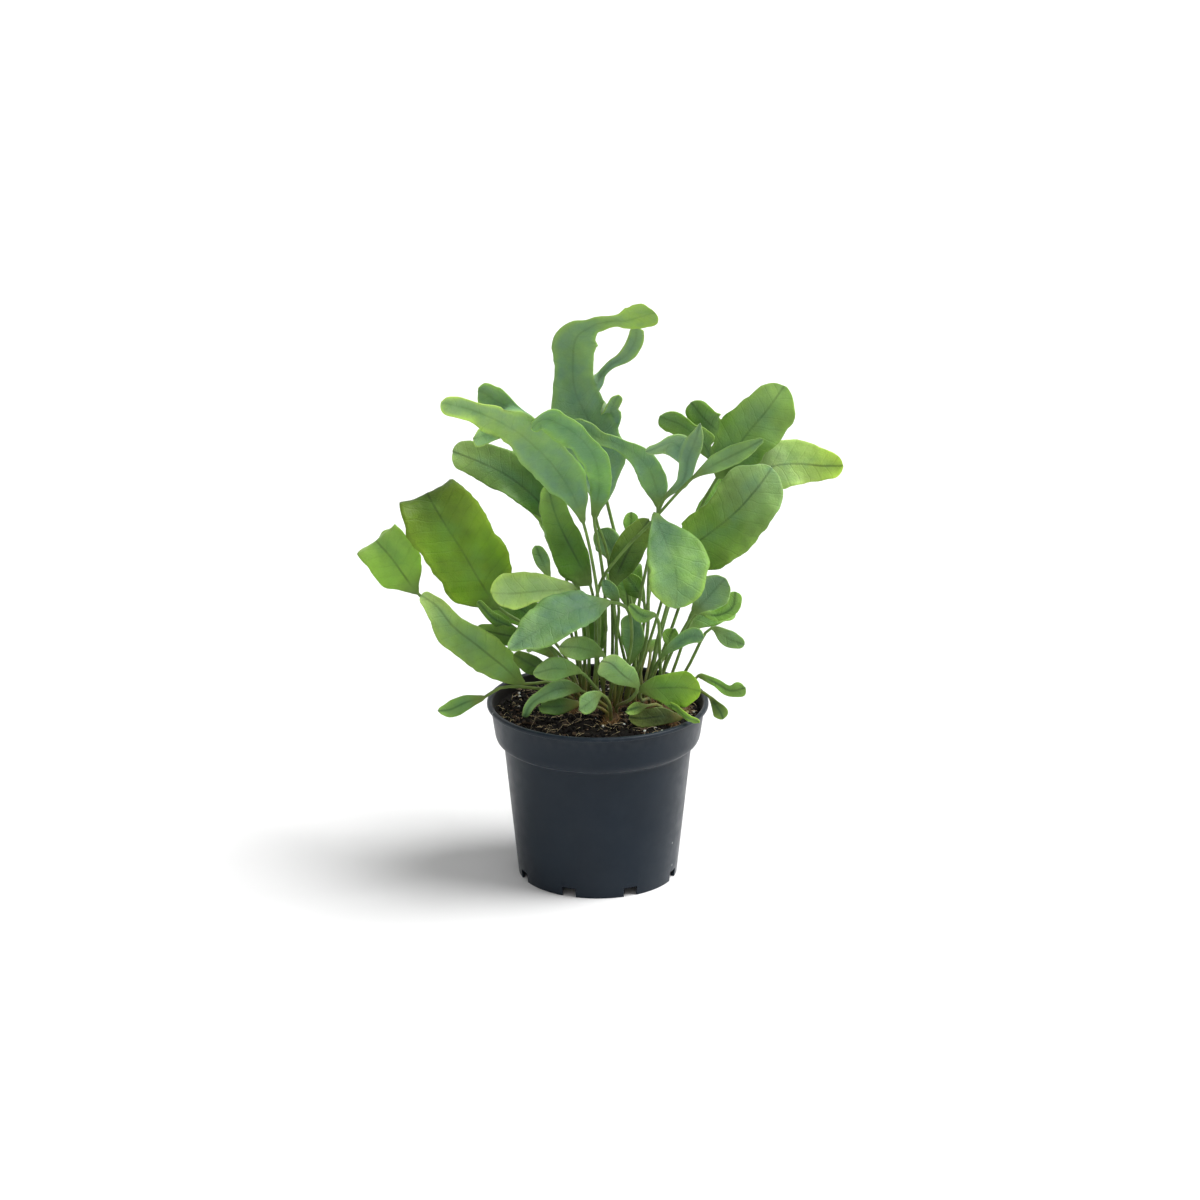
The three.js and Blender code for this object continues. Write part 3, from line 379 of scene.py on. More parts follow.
def soil_material(name, ground, pale_share, size):
    """Peat in patches of about the given size, with a share of paler grains."""
    made, tree, shader = new_material(name, specular_ior_level=0.25)
    spot = place_of(tree)
    pale_grain = (0.30, 0.22, 0.14)
    tone = brighten(tree, clouds(tree, spot, size, 0.45, 1.5), ground)
    tone = brighten(tree, clouds(tree, spot, size * 5, 0.7, 1.25), tone)
    tone = blend(tree, times(tree, flecks(tree, spot, 0.0011, pale_share), 0.7), tone, pale_grain)
    finish(tree, shader, tone, clouds(tree, spot, 0.004, 0.78, 0.97), waves(tree, spot, 1500.0, 4.0),
           depth=0.0007, strength=0.9)
    return made


def bark_material(soil):
    made, tree, shader = new_material("bark", specular_ior_level=0.3)
    spot = place_of(tree)
    lengthwise = stretched(tree, spot, (1.0, 0.35, 1.0))
    tone = brighten(tree, clouds(tree, spot, 0.009, 0.35, 1.6), soil.bark)
    tone = brighten(tree, clouds(tree, lengthwise, 0.0006, 0.7, 1.3), tone)
    finish(tree, shader, tone, clouds(tree, spot, 0.003, 0.7, 0.95), clouds(tree, lengthwise, 0.0005, 0.0, 1.0),
           depth=0.0004, strength=0.8)
    return made


def perlite_material(soil):
    made, tree, shader = new_material("perlite", specular_ior_level=0.3, subsurface_weight=0.15,
                                      subsurface_scale=0.0006)
    spot = place_of(tree)
    tone = brighten(tree, clouds(tree, spot, 0.0012, 0.72, 1.0), soil.perlite)
    tone = blend(tree, times(tree, flecks(tree, spot, 0.0005, 0.25), 0.5), tone, soil.bark)
    finish(tree, shader, tone, clouds(tree, spot, 0.002, 0.75, 0.95), cells(tree, spot, 2200.0),
           depth=0.0003, strength=0.7)
    return made


def fibre_material(name, ground, low, high):
    """The skin of fibres, stem and scales: the ground colour in patches, from low to high times as light."""
    made, tree, shader = new_material(name, specular_ior_level=0.35)
    spot = place_of(tree)
    tone = brighten(tree, clouds(tree, spot, 0.007, low, high), ground)
    tone = brighten(tree, clouds(tree, spot, 0.0007, 0.8, 1.15), tone)
    finish(tree, shader, tone, clouds(tree, spot, 0.002, 0.5, 0.8), clouds(tree, spot, 0.0004, 0.0, 1.0),
           depth=0.0002, strength=0.5)
    return made


def frond_material(fronds):
    """The skin of blade and stalk. Its colours, masks and painted light and shade come from the mesh's own
    attributes.
    """
    made, tree, shader = new_material("frond_skin", specular_ior_level=0.24, subsurface_weight=0.32,
                                      subsurface_scale=0.0012, subsurface_radius=(0.7, 1.0, 0.4),
                                      sheen_weight=0.06, sheen_roughness=0.5)
    spot = place_of(tree)
    attribute = lambda name: add(tree, "ShaderNodeAttribute", attribute_name=name).outputs
    split = lambda kind, whole: add(tree, kind, {0: whole}).outputs
    measure = split("ShaderNodeSeparateXYZ", add(tree, "ShaderNodeUVMap", uv_map="blade").outputs[0])
    marks = attribute("marks")
    edge, leafy, under = split("ShaderNodeSeparateColor", marks["Color"])[:3]
    waxy = marks["Alpha"]
    veins = effect(tree, "blade_veins", {"Across": measure[0], "Along": measure[1],
                                         "Spacing": fronds.vein_spacing, "Rib Width": 0.0011})
    on_blade = lambda mask, amount: times(tree, mask, leafy, amount)

    # The waxy bloom is thick in the middle of a blade and rubbed thin towards its margin.
    inner = ramp(tree, edge, 0.55, 1.0, 1.0, 0.25)
    film = on_blade(times(tree, inner, clouds(tree, spot, 0.014, 0.4, 1.0)), waxy)
    # Painted shade along the midrib, dark and bluish in places.
    midrib_shade_mask = times(tree, ramp(tree, edge, 0.05, 0.6, 1.0, 0.0), clouds(tree, spot, 0.011, 0.0, 1.0))
    # The bloom hides the veins of a blade, and they show best on the bare, dark ones.
    bare = times(tree, calc(tree, "MULTIPLY_ADD", waxy, -0.85, 1.0), clouds(tree, spot, 0.02, 0.45, 1.0))
    tone = brighten(tree, clouds(tree, spot, 0.022, 0.76, 1.18), attribute("tint")["Color"])
    tone = brighten(tree, clouds(tree, spot, 0.004, 0.96, 1.04), tone)
    for amount, layer in (
            (on_blade(clouds(tree, spot, 0.034, 0.0, 1.0), 0.16), fronds.tip),
            (film, fronds.bloom),
            (on_blade(midrib_shade_mask, 0.42), fronds.midrib_shade),
            # Light shows through the thin margin.
            (on_blade(ramp(tree, edge, 0.6, 1.0), 0.2), fronds.tip),
            (on_blade(ramp(tree, edge, 0.93, 1.0), 0.4), fronds.tip),
            (on_blade(veins["Net"], 0.045), fronds.rib),
            (on_blade(times(tree, veins["Side Veins"], bare), 0.09), fronds.rib),
            (on_blade(times(tree, veins["Rib"], bare), 0.75), fronds.rib)):
        tone = blend(tree, amount, tone, layer)
    grey_green = (0.33, 0.42, 0.24)
    tone = blend(tree, times(tree, under, leafy), tone, blend(tree, 0.22, tone, grey_green))
    # Painted light and shade: the colour is multiplied by each frond's own lighter or darker tone, from its
    # base to its end.
    tone = blend(tree, 1.0, tone, attribute("light")["Color"], "MULTIPLY")
    # The stalk is green and turns brown towards the soil.
    brown_up_to, green_from = 0.094, 0.125
    low = times(tree, ramp(tree, height_of(tree, spot), brown_up_to, green_from, 1.0, 0.0),
                clouds(tree, spot, 0.006, 0.4, 1.0))
    stem = blend(tree, low, fronds.stalk, fronds.stalk_foot)
    stem = brighten(tree, clouds(tree, spot, 0.006, 0.82, 1.15), stem)
    tone = blend(tree, leafy, stem, tone)

    rough = plus(tree, clouds(tree, spot, 0.008, 0.44, 0.56), times(tree, film, 0.14))
    relief = plus(tree, on_blade(veins["Side Veins"], -0.55), on_blade(veins["Net"], -0.22),
                  times(tree, cells(tree, spot, 3200.0), 0.10), clouds(tree, spot, 0.005, 0.0, 0.7))
    finish(tree, shader, tone, rough, relief, depth=0.0004, strength=0.55)
    return made


def stage_material(stage):
    made, tree, shader = new_material("pale_floor", roughness=0.9, specular_ior_level=0.1)
    finish(tree, shader, brighten(tree, clouds(tree, place_of(tree), 0.8, 0.995, 1.0), stage.floor))
    return made


# ---- Pieces ------------------------------------------------------------------------------------------------

def new_object(name, mesh):
    made = bpy.data.objects.new(name, mesh)
    bpy.context.scene.collection.objects.link(made)
    return made


def plain_mesh(name, points, faces=(), edges=()):
    mesh = bpy.data.meshes.new(name)
    mesh.from_pydata([tuple(p) for p in points], list(edges), list(faces))
    mesh.update()
    return mesh


def grown(name, source, tree, values):
    """The plain mesh object that a node tree makes of a source mesh. values are the tree's inputs by name."""
    carrier = new_object(name, source)
    modifier = carrier.modifiers.new(tree.name, "NODES")
    modifier.node_group = tree
    for item in tree.interface.items_tree:
        if item.item_type == "SOCKET" and item.in_out == "INPUT" and item.name in values:
            modifier[item.identifier] = values[item.name]
    result = bpy.data.meshes.new_from_object(carrier.evaluated_get(bpy.context.evaluated_depsgraph_get()))
    carrier.modifiers.remove(modifier)
    carrier.data = result
    return carrier


def settle(piece, slot, *nodes, sharp_angle=None):
    """Gives a finished piece its shading and its body, and hides the CAD nodes that it stands for. slot is not
    used.
    """
    piece.data.shade_smooth()
    if sharp_angle:
        piece.data.set_sharp_from_angle(angle=math.radians(sharp_angle))
    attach(piece, "root")
    if nodes:
        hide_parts(*nodes)


# ---- Geometry Nodes ----------------------------------------------------------------------------------------

def shape_tree(name, inputs):
    """A tree for a mesh object: Geometry and a Material in, besides its own inputs, and Geometry out."""
    sockets = [("Geometry", "Geometry"), *inputs, ("Material", "Material")]
    return new_group(name, "GeometryNodeTree", sockets, [("Geometry", "Geometry")])


def close_tree(tree, given, out, geometry):
    """Ends a tree in Realize Instances and Set Material."""
    real = add(tree, "GeometryNodeRealizeInstances", {0: geometry}).outputs[0]
    painted = add(tree, "GeometryNodeSetMaterial", {"Geometry": real, "Material": given["Material"]}).outputs[0]
    tree.links.new(painted, out["Geometry"])


def position(tree):
    return add(tree, "GeometryNodeInputPosition").outputs[0]


def moved(tree, geometry, offset):
    """Moves each point of a shape by an offset of its own."""
    return add(tree, "GeometryNodeSetPosition", {"Geometry": geometry, "Offset": offset}).outputs[0]


def shifted(tree, geometry, **parts):
    """Moves a shape as a whole, by the x, y and z that are given."""
    feed = {"Geometry": geometry, "Translation": triple(tree, **parts)}
    return add(tree, "GeometryNodeTransform", feed).outputs[0]


def copies(tree, points, shape, rotation, **scale):
    """Copies of a shape on points. Their Scale may be given."""
    feed = {"Points": points, "Instance": shape, "Rotation": rotation, **scale}
    return add(tree, "GeometryNodeInstanceOnPoints", feed).outputs[0]


def scattered(tree, surface, density, seed):
    return add(tree, "GeometryNodeDistributePointsOnFaces", {
        "Mesh": surface, "Density": density, "Seed": seed}).outputs


def tube(tree, curve, ring_points, ring_radius, scale):
    """A closed tube along a curve. scale widens or narrows its ring along the way."""
    ring = add(tree, "GeometryNodeCurvePrimitiveCircle", {"Resolution": ring_points, "Radius": ring_radius})
    return add(tree, "GeometryNodeCurveToMesh", {"Curve": curve, "Profile Curve": ring.outputs[0],
                                                 "Scale": scale, "Fill Caps": True}).outputs[0]


def from_end(tree):
    """How far a place on a curve is from the nearer end, from 0 there to 0.5 in the middle."""
    return calc(tree, "PINGPONG", add(tree, "GeometryNodeSplineParameter").outputs["Factor"], 0.5)


def random_vector(tree, low, high, seed):
    return add(tree, "FunctionNodeRandomValue", {0: low, 1: high, "Seed": seed},
               data_type="FLOAT_VECTOR").outputs[0]


def roughened(tree, geometry, size, depth):
    """Pushes the points of a shape in and out by noise."""
    swell = add(tree, "ShaderNodeTexNoise", {"Vector": position(tree), "Scale": 1 / size, "Detail": 2.0})
    centred = add(tree, "ShaderNodeVectorMath", {0: swell.outputs["Color"], 1: (0.5, 0.5, 0.5)},
                  operation="SUBTRACT").outputs[0]
    offset = add(tree, "ShaderNodeVectorMath", {0: centred, "Scale": depth}, operation="SCALE").outputs[0]
    return moved(tree, geometry, offset)


def cutters(tree, shape, number, first):
    """Copies of a shape all around Z in equal steps, from a first angle on."""
    spots = add(tree, "GeometryNodeMeshLine", {"Count": number, "Offset": (0, 0, 0)}).outputs[0]
    step = calc(tree, "DIVIDE", math.tau, number)
    angle = calc(tree, "MULTIPLY_ADD", add(tree, "GeometryNodeInputIndex").outputs[0], step, first)
    placed = copies(tree, spots, shape, triple(tree, z=angle))
    return add(tree, "GeometryNodeRealizeInstances", {0: placed}).outputs[0]


def turned_pot_tree():
    """Turns a profile, drawn as points in the XZ plane, about Z, and cuts the notches and the drain holes."""
    lengths = ("Foot Radius", "Wall", "Notch Width", "Notch Height", "Drain Radius", "Drain Circle", "Floor")
    tree, given, out = shape_tree("turned_pot", [
        ("Segments", "Int", 96), ("Notches", "Int", 8), ("First Notch", "Float", 0.0),
        ("Drain Holes", "Int", 4), *((label, "Float", 0.01) for label in lengths)])
    stations = add(tree, "GeometryNodeAttributeDomainSize", {0: given["Geometry"]}).outputs["Point Count"]
    around = plus(tree, given["Segments"], 1)
    sheet = add(tree, "GeometryNodeMeshGrid", {"Vertices X": around, "Vertices Y": stations}).outputs[0]
    index = add(tree, "GeometryNodeInputIndex").outputs[0]
    column = calc(tree, "FLOOR", calc(tree, "DIVIDE", plus(tree, index, 0.5), stations))
    row = calc(tree, "SUBTRACT", index, times(tree, column, stations))
    drawn = add(tree, "GeometryNodeSampleIndex",
                {"Geometry": given["Geometry"], "Index": row}, data_type="FLOAT_VECTOR")
    tree.links.new(position(tree), drawn.inputs["Value"])
    angle = calc(tree, "DIVIDE", times(tree, column, math.tau), given["Segments"])
    turned = add(tree, "ShaderNodeVectorRotate", {"Vector": drawn.outputs[0], "Angle": angle},
                 rotation_type="Z_AXIS").outputs[0]
    wall = add(tree, "GeometryNodeSetPosition", {"Geometry": sheet, "Position": turned}).outputs[0]
    wall = add(tree, "GeometryNodeMergeByDistance", {"Geometry": wall, "Distance": 1e-6}).outputs[0]

    size = triple(tree, x=given["Notch Width"], y=times(tree, given["Wall"], 8.0),
                  z=times(tree, given["Notch Height"], 2.0))
    block = add(tree, "GeometryNodeMeshCube", {"Size": size}).outputs[0]
    block = shifted(tree, block, y=times(tree, given["Foot Radius"], -1.0))
    drill = add(tree, "GeometryNodeMeshCylinder", {"Vertices": 24, "Radius": given["Drain Radius"],
                                                   "Depth": times(tree, given["Wall"], 6.0)}).outputs[0]
    drill = shifted(tree, drill, x=given["Drain Circle"], z=given["Floor"])
    cut = add(tree, "GeometryNodeMeshBoolean", {0: wall}, operation="DIFFERENCE", solver="EXACT")
    for cutter in (cutters(tree, block, given["Notches"], given["First Notch"]),
                   cutters(tree, drill, given["Drain Holes"], math.pi / 4)):
        tree.links.new(cutter, cut.inputs[1])
    close_tree(tree, given, out, cut.outputs[0])
    return tree


def litter_tree(name, shape, seed, tilt):
    """Scatters copies of a shape, of about unit size, over a surface: turned at random and lifted a little."""
    tree, given, out = shape_tree(name, [
        ("Count", "Int", 100), ("Smallest", "Vector"), ("Biggest", "Vector"), ("Reach", "Float", 0.05),
        ("Lift", "Float", 0.0)])
    area = times(tree, calc(tree, "POWER", given["Reach"], 2.0), math.pi)
    seeds = scattered(tree, given["Geometry"], calc(tree, "DIVIDE", given["Count"], area), seed)
    outside = calc(tree, "GREATER_THAN", from_axis(tree, position(tree)), given["Reach"])
    kept = add(tree, "GeometryNodeDeleteGeometry", {"Geometry": seeds[0], "Selection": outside},
               domain="POINT").outputs[0]
    turn = random_vector(tree, (-tilt, -tilt, 0), (tilt, tilt, math.tau), seed + 1)
    scale = random_vector(tree, given["Smallest"], given["Biggest"], seed + 2)
    raised = moved(tree, kept, triple(tree, z=given["Lift"]))
    close_tree(tree, given, out, copies(tree, raised, shape(tree), turn, Scale=scale))
    return tree


def lump(tree):
    """A crumb or a grain."""
    ball = add(tree, "GeometryNodeMeshIcoSphere", {"Radius": 1.0, "Subdivisions": 2}).outputs[0]
    return roughened(tree, ball, 0.9, 0.9)


def chip(tree):
    """A broken slab of bark."""
    slab = add(tree, "GeometryNodeMeshCube", {"Size": (2, 2, 2), "Vertices X": 4, "Vertices Y": 4,
                                              "Vertices Z": 2}).outputs[0]
    return roughened(tree, slab, 1.1, 0.9)


def strand(tree):
    """A bent, pointed fibre of length 2 along X."""
    bow = add(tree, "GeometryNodeCurveQuadraticBezier", {
        "Resolution": 9, "Start": (-1, 0, 0), "Middle": (0.1, 0.8, 0.35), "End": (1, 0.1, 0)}).outputs[0]
    return tube(tree, bow, 5, 0.028, ramp(tree, from_end(tree), 0.0, 0.35, 0.3, 1.0))


def creeping_stem_tree():
    """Thickens lines of points into one knobbly stem with round ends."""
    tree, given, out = shape_tree("creeping_stem", [("Radius", "Float", 0.004), ("Grain", "Float", 0.0007)])
    line = add(tree, "GeometryNodeMeshToCurve", {0: given["Geometry"]}).outputs[0]
    line = add(tree, "GeometryNodeCurveSplineType", {0: line}, spline_type="CATMULL_ROM").outputs[0]
    line = add(tree, "GeometryNodeResampleCurve", {"Curve": line, "Length": 0.0015}, mode="LENGTH").outputs[0]
    swell = ramp(tree, waves(tree, position(tree), 160.0, 1.0), 0.3, 0.7, 0.88, 1.08)
    ends = ramp(tree, from_end(tree), 0.0, 0.06, 0.55, 1.0)
    limbs = tube(tree, line, 20, 1.0, times(tree, swell, ends, given["Radius"]))
    # Branches that run into each other become one skin.
    cloud = add(tree, "GeometryNodeMeshToVolume", {"Mesh": limbs, "Voxel Size": given["Grain"],
                                                   "Interior Band Width": 0.002}, resolution_mode="VOXEL_SIZE")
    skin = add(tree, "GeometryNodeVolumeToMesh", {"Volume": cloud.outputs[0], "Voxel Size": given["Grain"],
                                                  "Threshold": 0.1}, resolution_mode="VOXEL_SIZE").outputs[0]
    close_tree(tree, given, out, roughened(tree, skin, 0.003, 0.0010))
    return tree


def scales_tree():
    """Covers a surface with small pointed scales that lie over each other."""
    tree, given, out = shape_tree("golden_scales", [("Density", "Float", 1000.0)])
    seeds = scattered(tree, given["Geometry"], given["Density"], 21)
    blade = add(tree, "GeometryNodeMeshCone", {"Vertices": 4, "Side Segments": 2, "Radius Top": 0.0,
                                               "Radius Bottom": 0.16, "Depth": 2.0}).outputs["Mesh"]
    bend = times(tree, calc(tree, "POWER", height_of(tree, position(tree)), 2.0), 0.12)
    blade = moved(tree, blade, triple(tree, x=bend))
    turn = random_vector(tree, (-1.1, -1.1, 0), (1.1, 1.1, math.tau), 22)
    turn = add(tree, "FunctionNodeEulerToRotation", {0: turn}).outputs[0]
    stand = add(tree, "FunctionNodeRotateRotation", {0: seeds["Rotation"], 1: turn},
                rotation_space="LOCAL").outputs[0]
    size = random_vector(tree, (0.0009, 0.0009, 0.0009), (0.0012, 0.0012, 0.0021), 23)
    close_tree(tree, given, out, copies(tree, seeds[0], blade, stand, Scale=size))
    return tree


# ---- Pot ---------------------------------------------------------------------------------------------------

STEP_HEIGHT = 75
COLLAR_FOOT_HEIGHT = 79.5
LIP_HEIGHT = 2.2
FLOOR_HEIGHT = 5.5
NOTCHES = 8
FIRST_NOTCH = 24      # degrees from the front, towards +X
DRAIN_HOLES = 4
DRAIN_RADIUS = 4
DRAIN_CIRCLE = 26     # radius of the circle that the drain holes lie on


def filleted(corners):
    """Rounds the corners of a line of (radius, height, fillet) and gives its points as (radius, height)."""
    points = []
    for i, (r, z, fillet) in enumerate(corners):
        here = Vector((r, z))
        if not fillet:
            points.append(here)
            continue
        sides = [Vector(corners[j][:2]) - here for j in (i - 1, i + 1)]
        before, after = (here + side.normalized() * min(fillet, side.length * 0.45) for side in sides)
        for t in (0, 0.25, 0.5, 0.75, 1):
            points.append(before * (1 - t) ** 2 + here * 2 * t * (1 - t) + after * t ** 2)
    return points


def pot_profile(pot):
    """The points of the pot's section, from the middle of its underside round its lip to the middle inside."""
    top, rim, collar, collar_foot, body, foot, wall = (size / MM for size in (
        pot.height, pot.rim_radius, pot.collar_radius, pot.collar_foot_radius, pot.body_radius, pot.foot_radius,
        pot.wall))
    lip_foot = top - LIP_HEIGHT
    floor_radius = foot + (body - foot) * FLOOR_HEIGHT / STEP_HEIGHT - wall
    floor, ring = FLOOR_HEIGHT, 30
    corners = [
        (0, floor, 0), (ring, floor, 0), (floor_radius, floor, 0.5), (foot - wall, 0, 0.3), (foot, 0, 0.3),
        (foot + (body - foot) * 0.5, STEP_HEIGHT * 0.5, 0), (body, STEP_HEIGHT, 1.4),
        (body + (collar_foot - body) * 0.8, STEP_HEIGHT + 2, 1.2), (collar_foot, COLLAR_FOOT_HEIGHT, 1.6),
        (collar, lip_foot, 0.4), (rim - 0.2, lip_foot, 0.35), (rim, lip_foot + 0.6, 0.4), (rim, top - 0.6, 0.6),
        (rim - 0.7, top, 0.5), (collar - wall + 0.8, top, 0.6), (collar - wall, top - 1, 0.5),
        (collar_foot - wall, COLLAR_FOOT_HEIGHT + 0.6, 1.0), (body - wall, STEP_HEIGHT + 0.8, 1.0),
        (floor_radius, floor + wall, 0.8), (ring, floor + wall, 0), (0, floor + wall, 0),
    ]
    return [(r * MM, 0, z * MM) for r, z in filleted(corners)]


def make_pot(pot):
    """The pot, turned from its section."""
    points = pot_profile(pot)
    source = plain_mesh("pot_profile", points, edges=[(i, i + 1) for i in range(len(points) - 1)])
    piece = grown("nursery_pot", source, turned_pot_tree(), {
        "Segments": pot.segments, "Notches": NOTCHES, "First Notch": math.radians(FIRST_NOTCH),
        "Foot Radius": pot.foot_radius, "Wall": pot.wall, "Notch Width": pot.notch_width,
        "Notch Height": pot.notch_height, "Drain Holes": DRAIN_HOLES, "Drain Radius": DRAIN_RADIUS * MM,
        "Drain Circle": DRAIN_CIRCLE * MM, "Floor": FLOOR_HEIGHT * MM, "Material": pot_material(pot)})
    settle(piece, "pot", "pot", sharp_angle=38)


# ---- Soil --------------------------------------------------------------------------------------------------

SOIL_RADIUS = 55.9
SOIL_FOOT = 6.9
# The soil's side down the inside of the pot, as (radius, height).
SOIL_WALL = [(55.1, 87), (54.1, 80.4), (49.6, 76.1), (46.2, 45), (42.6, SOIL_FOOT + 0.4), (42.0, SOIL_FOOT)]
SOIL_RINGS = 62
SOIL_SPOKES = 176
LITTER_REACH = 53     # how far from the middle the litter lies


def soil_level(x, y, soil):
    """Height of the soil at a point, all in millimetres: a low mound with clods and fine crumbs."""
    away = math.hypot(x, y) / SOIL_RADIUS
    clods = math.sin(x * 0.43 + 1) * math.cos(y * 0.37) + 0.7 * math.sin(x * 0.19 - y * 0.61 + 2)
    crumbs = 1.1 * noise.noise((x / 5, y / 5, 3)) + 0.55 * noise.noise((x / 1.8, y / 1.8, 7))
    edge, crown = soil.edge_level / MM, soil.crown_level / MM
    return crown + (edge - crown) * away ** 2 + (0.8 * clods + crumbs) * (1 - away ** 8)


def soil_bed(soil):
    """The points and faces of the soil: rings from the middle out, then down the wall to the pot's floor."""
    surface = [(SOIL_RADIUS * (i / SOIL_RINGS), None) for i in range(1, SOIL_RINGS + 1)]
    points = [(0, 0, soil_level(0, 0, soil))]
    for radius, height in surface + SOIL_WALL:
        for j in range(SOIL_SPOKES):
            angle = j * math.tau / SOIL_SPOKES
            x, y = radius * math.cos(angle), radius * math.sin(angle)
            points.append((x, y, soil_level(x, y, soil) if height is None else height))
    points.append((0, 0, SOIL_FOOT))
    faces, last, following = [], len(points) - 1, lambda j: (j + 1) % SOIL_SPOKES
    for j in range(SOIL_SPOKES):
        faces.append((0, 1 + j, 1 + following(j)))
        faces.append((last, last - SOIL_SPOKES + following(j), last - SOIL_SPOKES + j))
    for i in range(SOIL_RINGS + len(SOIL_WALL) - 1):
        near, far = 1 + i * SOIL_SPOKES, 1 + (i + 1) * SOIL_SPOKES
        faces += [(near + j, far + j, far + following(j), near + following(j)) for j in range(SOIL_SPOKES)]
    return [Vector(p) * MM for p in points], faces


def make_soil(soil):
    """The bed of soil that fills the pot."""
    piece = new_object("soil_bed", plain_mesh("soil_bed", *soil_bed(soil)))
    piece.data.materials.append(soil_material("peat", soil.peat, 0.06, 0.003))
    settle(piece, "soil", "soil")


def make_soil_litter(soil):
    """Crumbs, bark chips, perlite and fibres that lie on the soil."""
    points, faces = soil_bed(soil)
    top = 1 + SOIL_RINGS * SOIL_SPOKES
    faces = [face for face in faces if max(face) < top]
    # Name, shape, seed, tilt, number, smallest and biggest half-sizes, lift and material.
    kinds = [
        ("soil_crumbs", lump, 3, 3.1, soil.crumbs, (0.5, 0.5, 0.4), (2.1, 1.7, 1.2), 0.1,
         soil_material("crumbs", soil.peat, 0.10, 0.002)),
        ("bark_chips", chip, 7, 0.5, soil.bark_chips, (0.7, 0.4, 0.2), (2.9, 1.3, 0.5), 0.5,
         bark_material(soil)),
        ("perlite_grains", lump, 11, 3.1, soil.perlite_grains, (0.5, 0.5, 0.5), (1.25, 1.1, 1.0), 0.5,
         perlite_material(soil)),
        ("soil_fibres", strand, 15, 0.45, soil.fibres, (1.2, 1.2, 2.4), (4.6, 3.4, 5.0), 0.7,
         fibre_material("straw", soil.straw, 0.35, 1.25)),
    ]
    for name, shape, seed, tilt, number, smallest, biggest, lift, painted in kinds:
        source = plain_mesh(name, points[:top], faces)
        piece = grown(name, source, litter_tree(name, shape, seed, tilt), {
            "Count": number, "Smallest": Vector(smallest) * MM, "Biggest": Vector(biggest) * MM,
            "Reach": LITTER_REACH * MM, "Lift": lift * MM, "Material": painted})
        settle(piece, "soil")


# ---- Rhizome -----------------------------------------------------------------------------------------------

# Centre lines of the creeping stem's branches over the soil, as (x, y).
BRANCHES = [
    [(-20, -4), (-8, -2), (4, 1), (16, 2), (32, -1), (50, -4)],
    [(6, 1), (8, -12), (6, -27)],
    [(20, 2), (26, 14), (23, 29)],
    [(-6, -1), (-11, 10), (-8, 24)],
    [(33, -1), (39, -12), (37, -25)],
]


def make_rhizome(rhizome):
    """The creeping stem that the fronds stand in, and the scales on it."""
    level = rhizome.level / MM
    points, edges = [], []
    for branch in BRANCHES:
        edges += [(len(points) + i, len(points) + i + 1) for i in range(len(branch) - 1)]
        points += [Vector((x, y, level)) * MM for x, y in branch]
    stem = grown("creeping_rhizome", plain_mesh("branches", points, edges=edges), creeping_stem_tree(), {
        "Radius": rhizome.radius, "Material": fibre_material("rhizome_skin", rhizome.skin, 0.6, 1.3)})
    area = sum(face.area for face in stem.data.polygons)
    golden = fibre_material("golden_scale", rhizome.scale_colour, 0.5, 1.25)
    scales = grown("rhizome_scales", stem.data.copy(), scales_tree(), {
        "Density": rhizome.scales / area, "Material": golden})
    settle(stem, "rhizome", "rhizome")
    settle(scales, "rhizome")


# ---- Fronds ------------------------------------------------------------------------------------------------
#
# foot: where the stalk stands on the rhizome
# stalk: points of the stalk between its foot and the blade
# rib: points of the midrib from the blade's base to its end, each with the blade's half-width there or, where
#      its sides differ, its right and its left half-width
# face: the way that the upper face looks at the blade's base
# cup: how far the margins lift, as a share of the half-width; wave: height of their waves
# lobes: (side, from, to, rib), with from and to as places along the frond's rib, counted in its points

FRONT = (0, -1, 0.25)

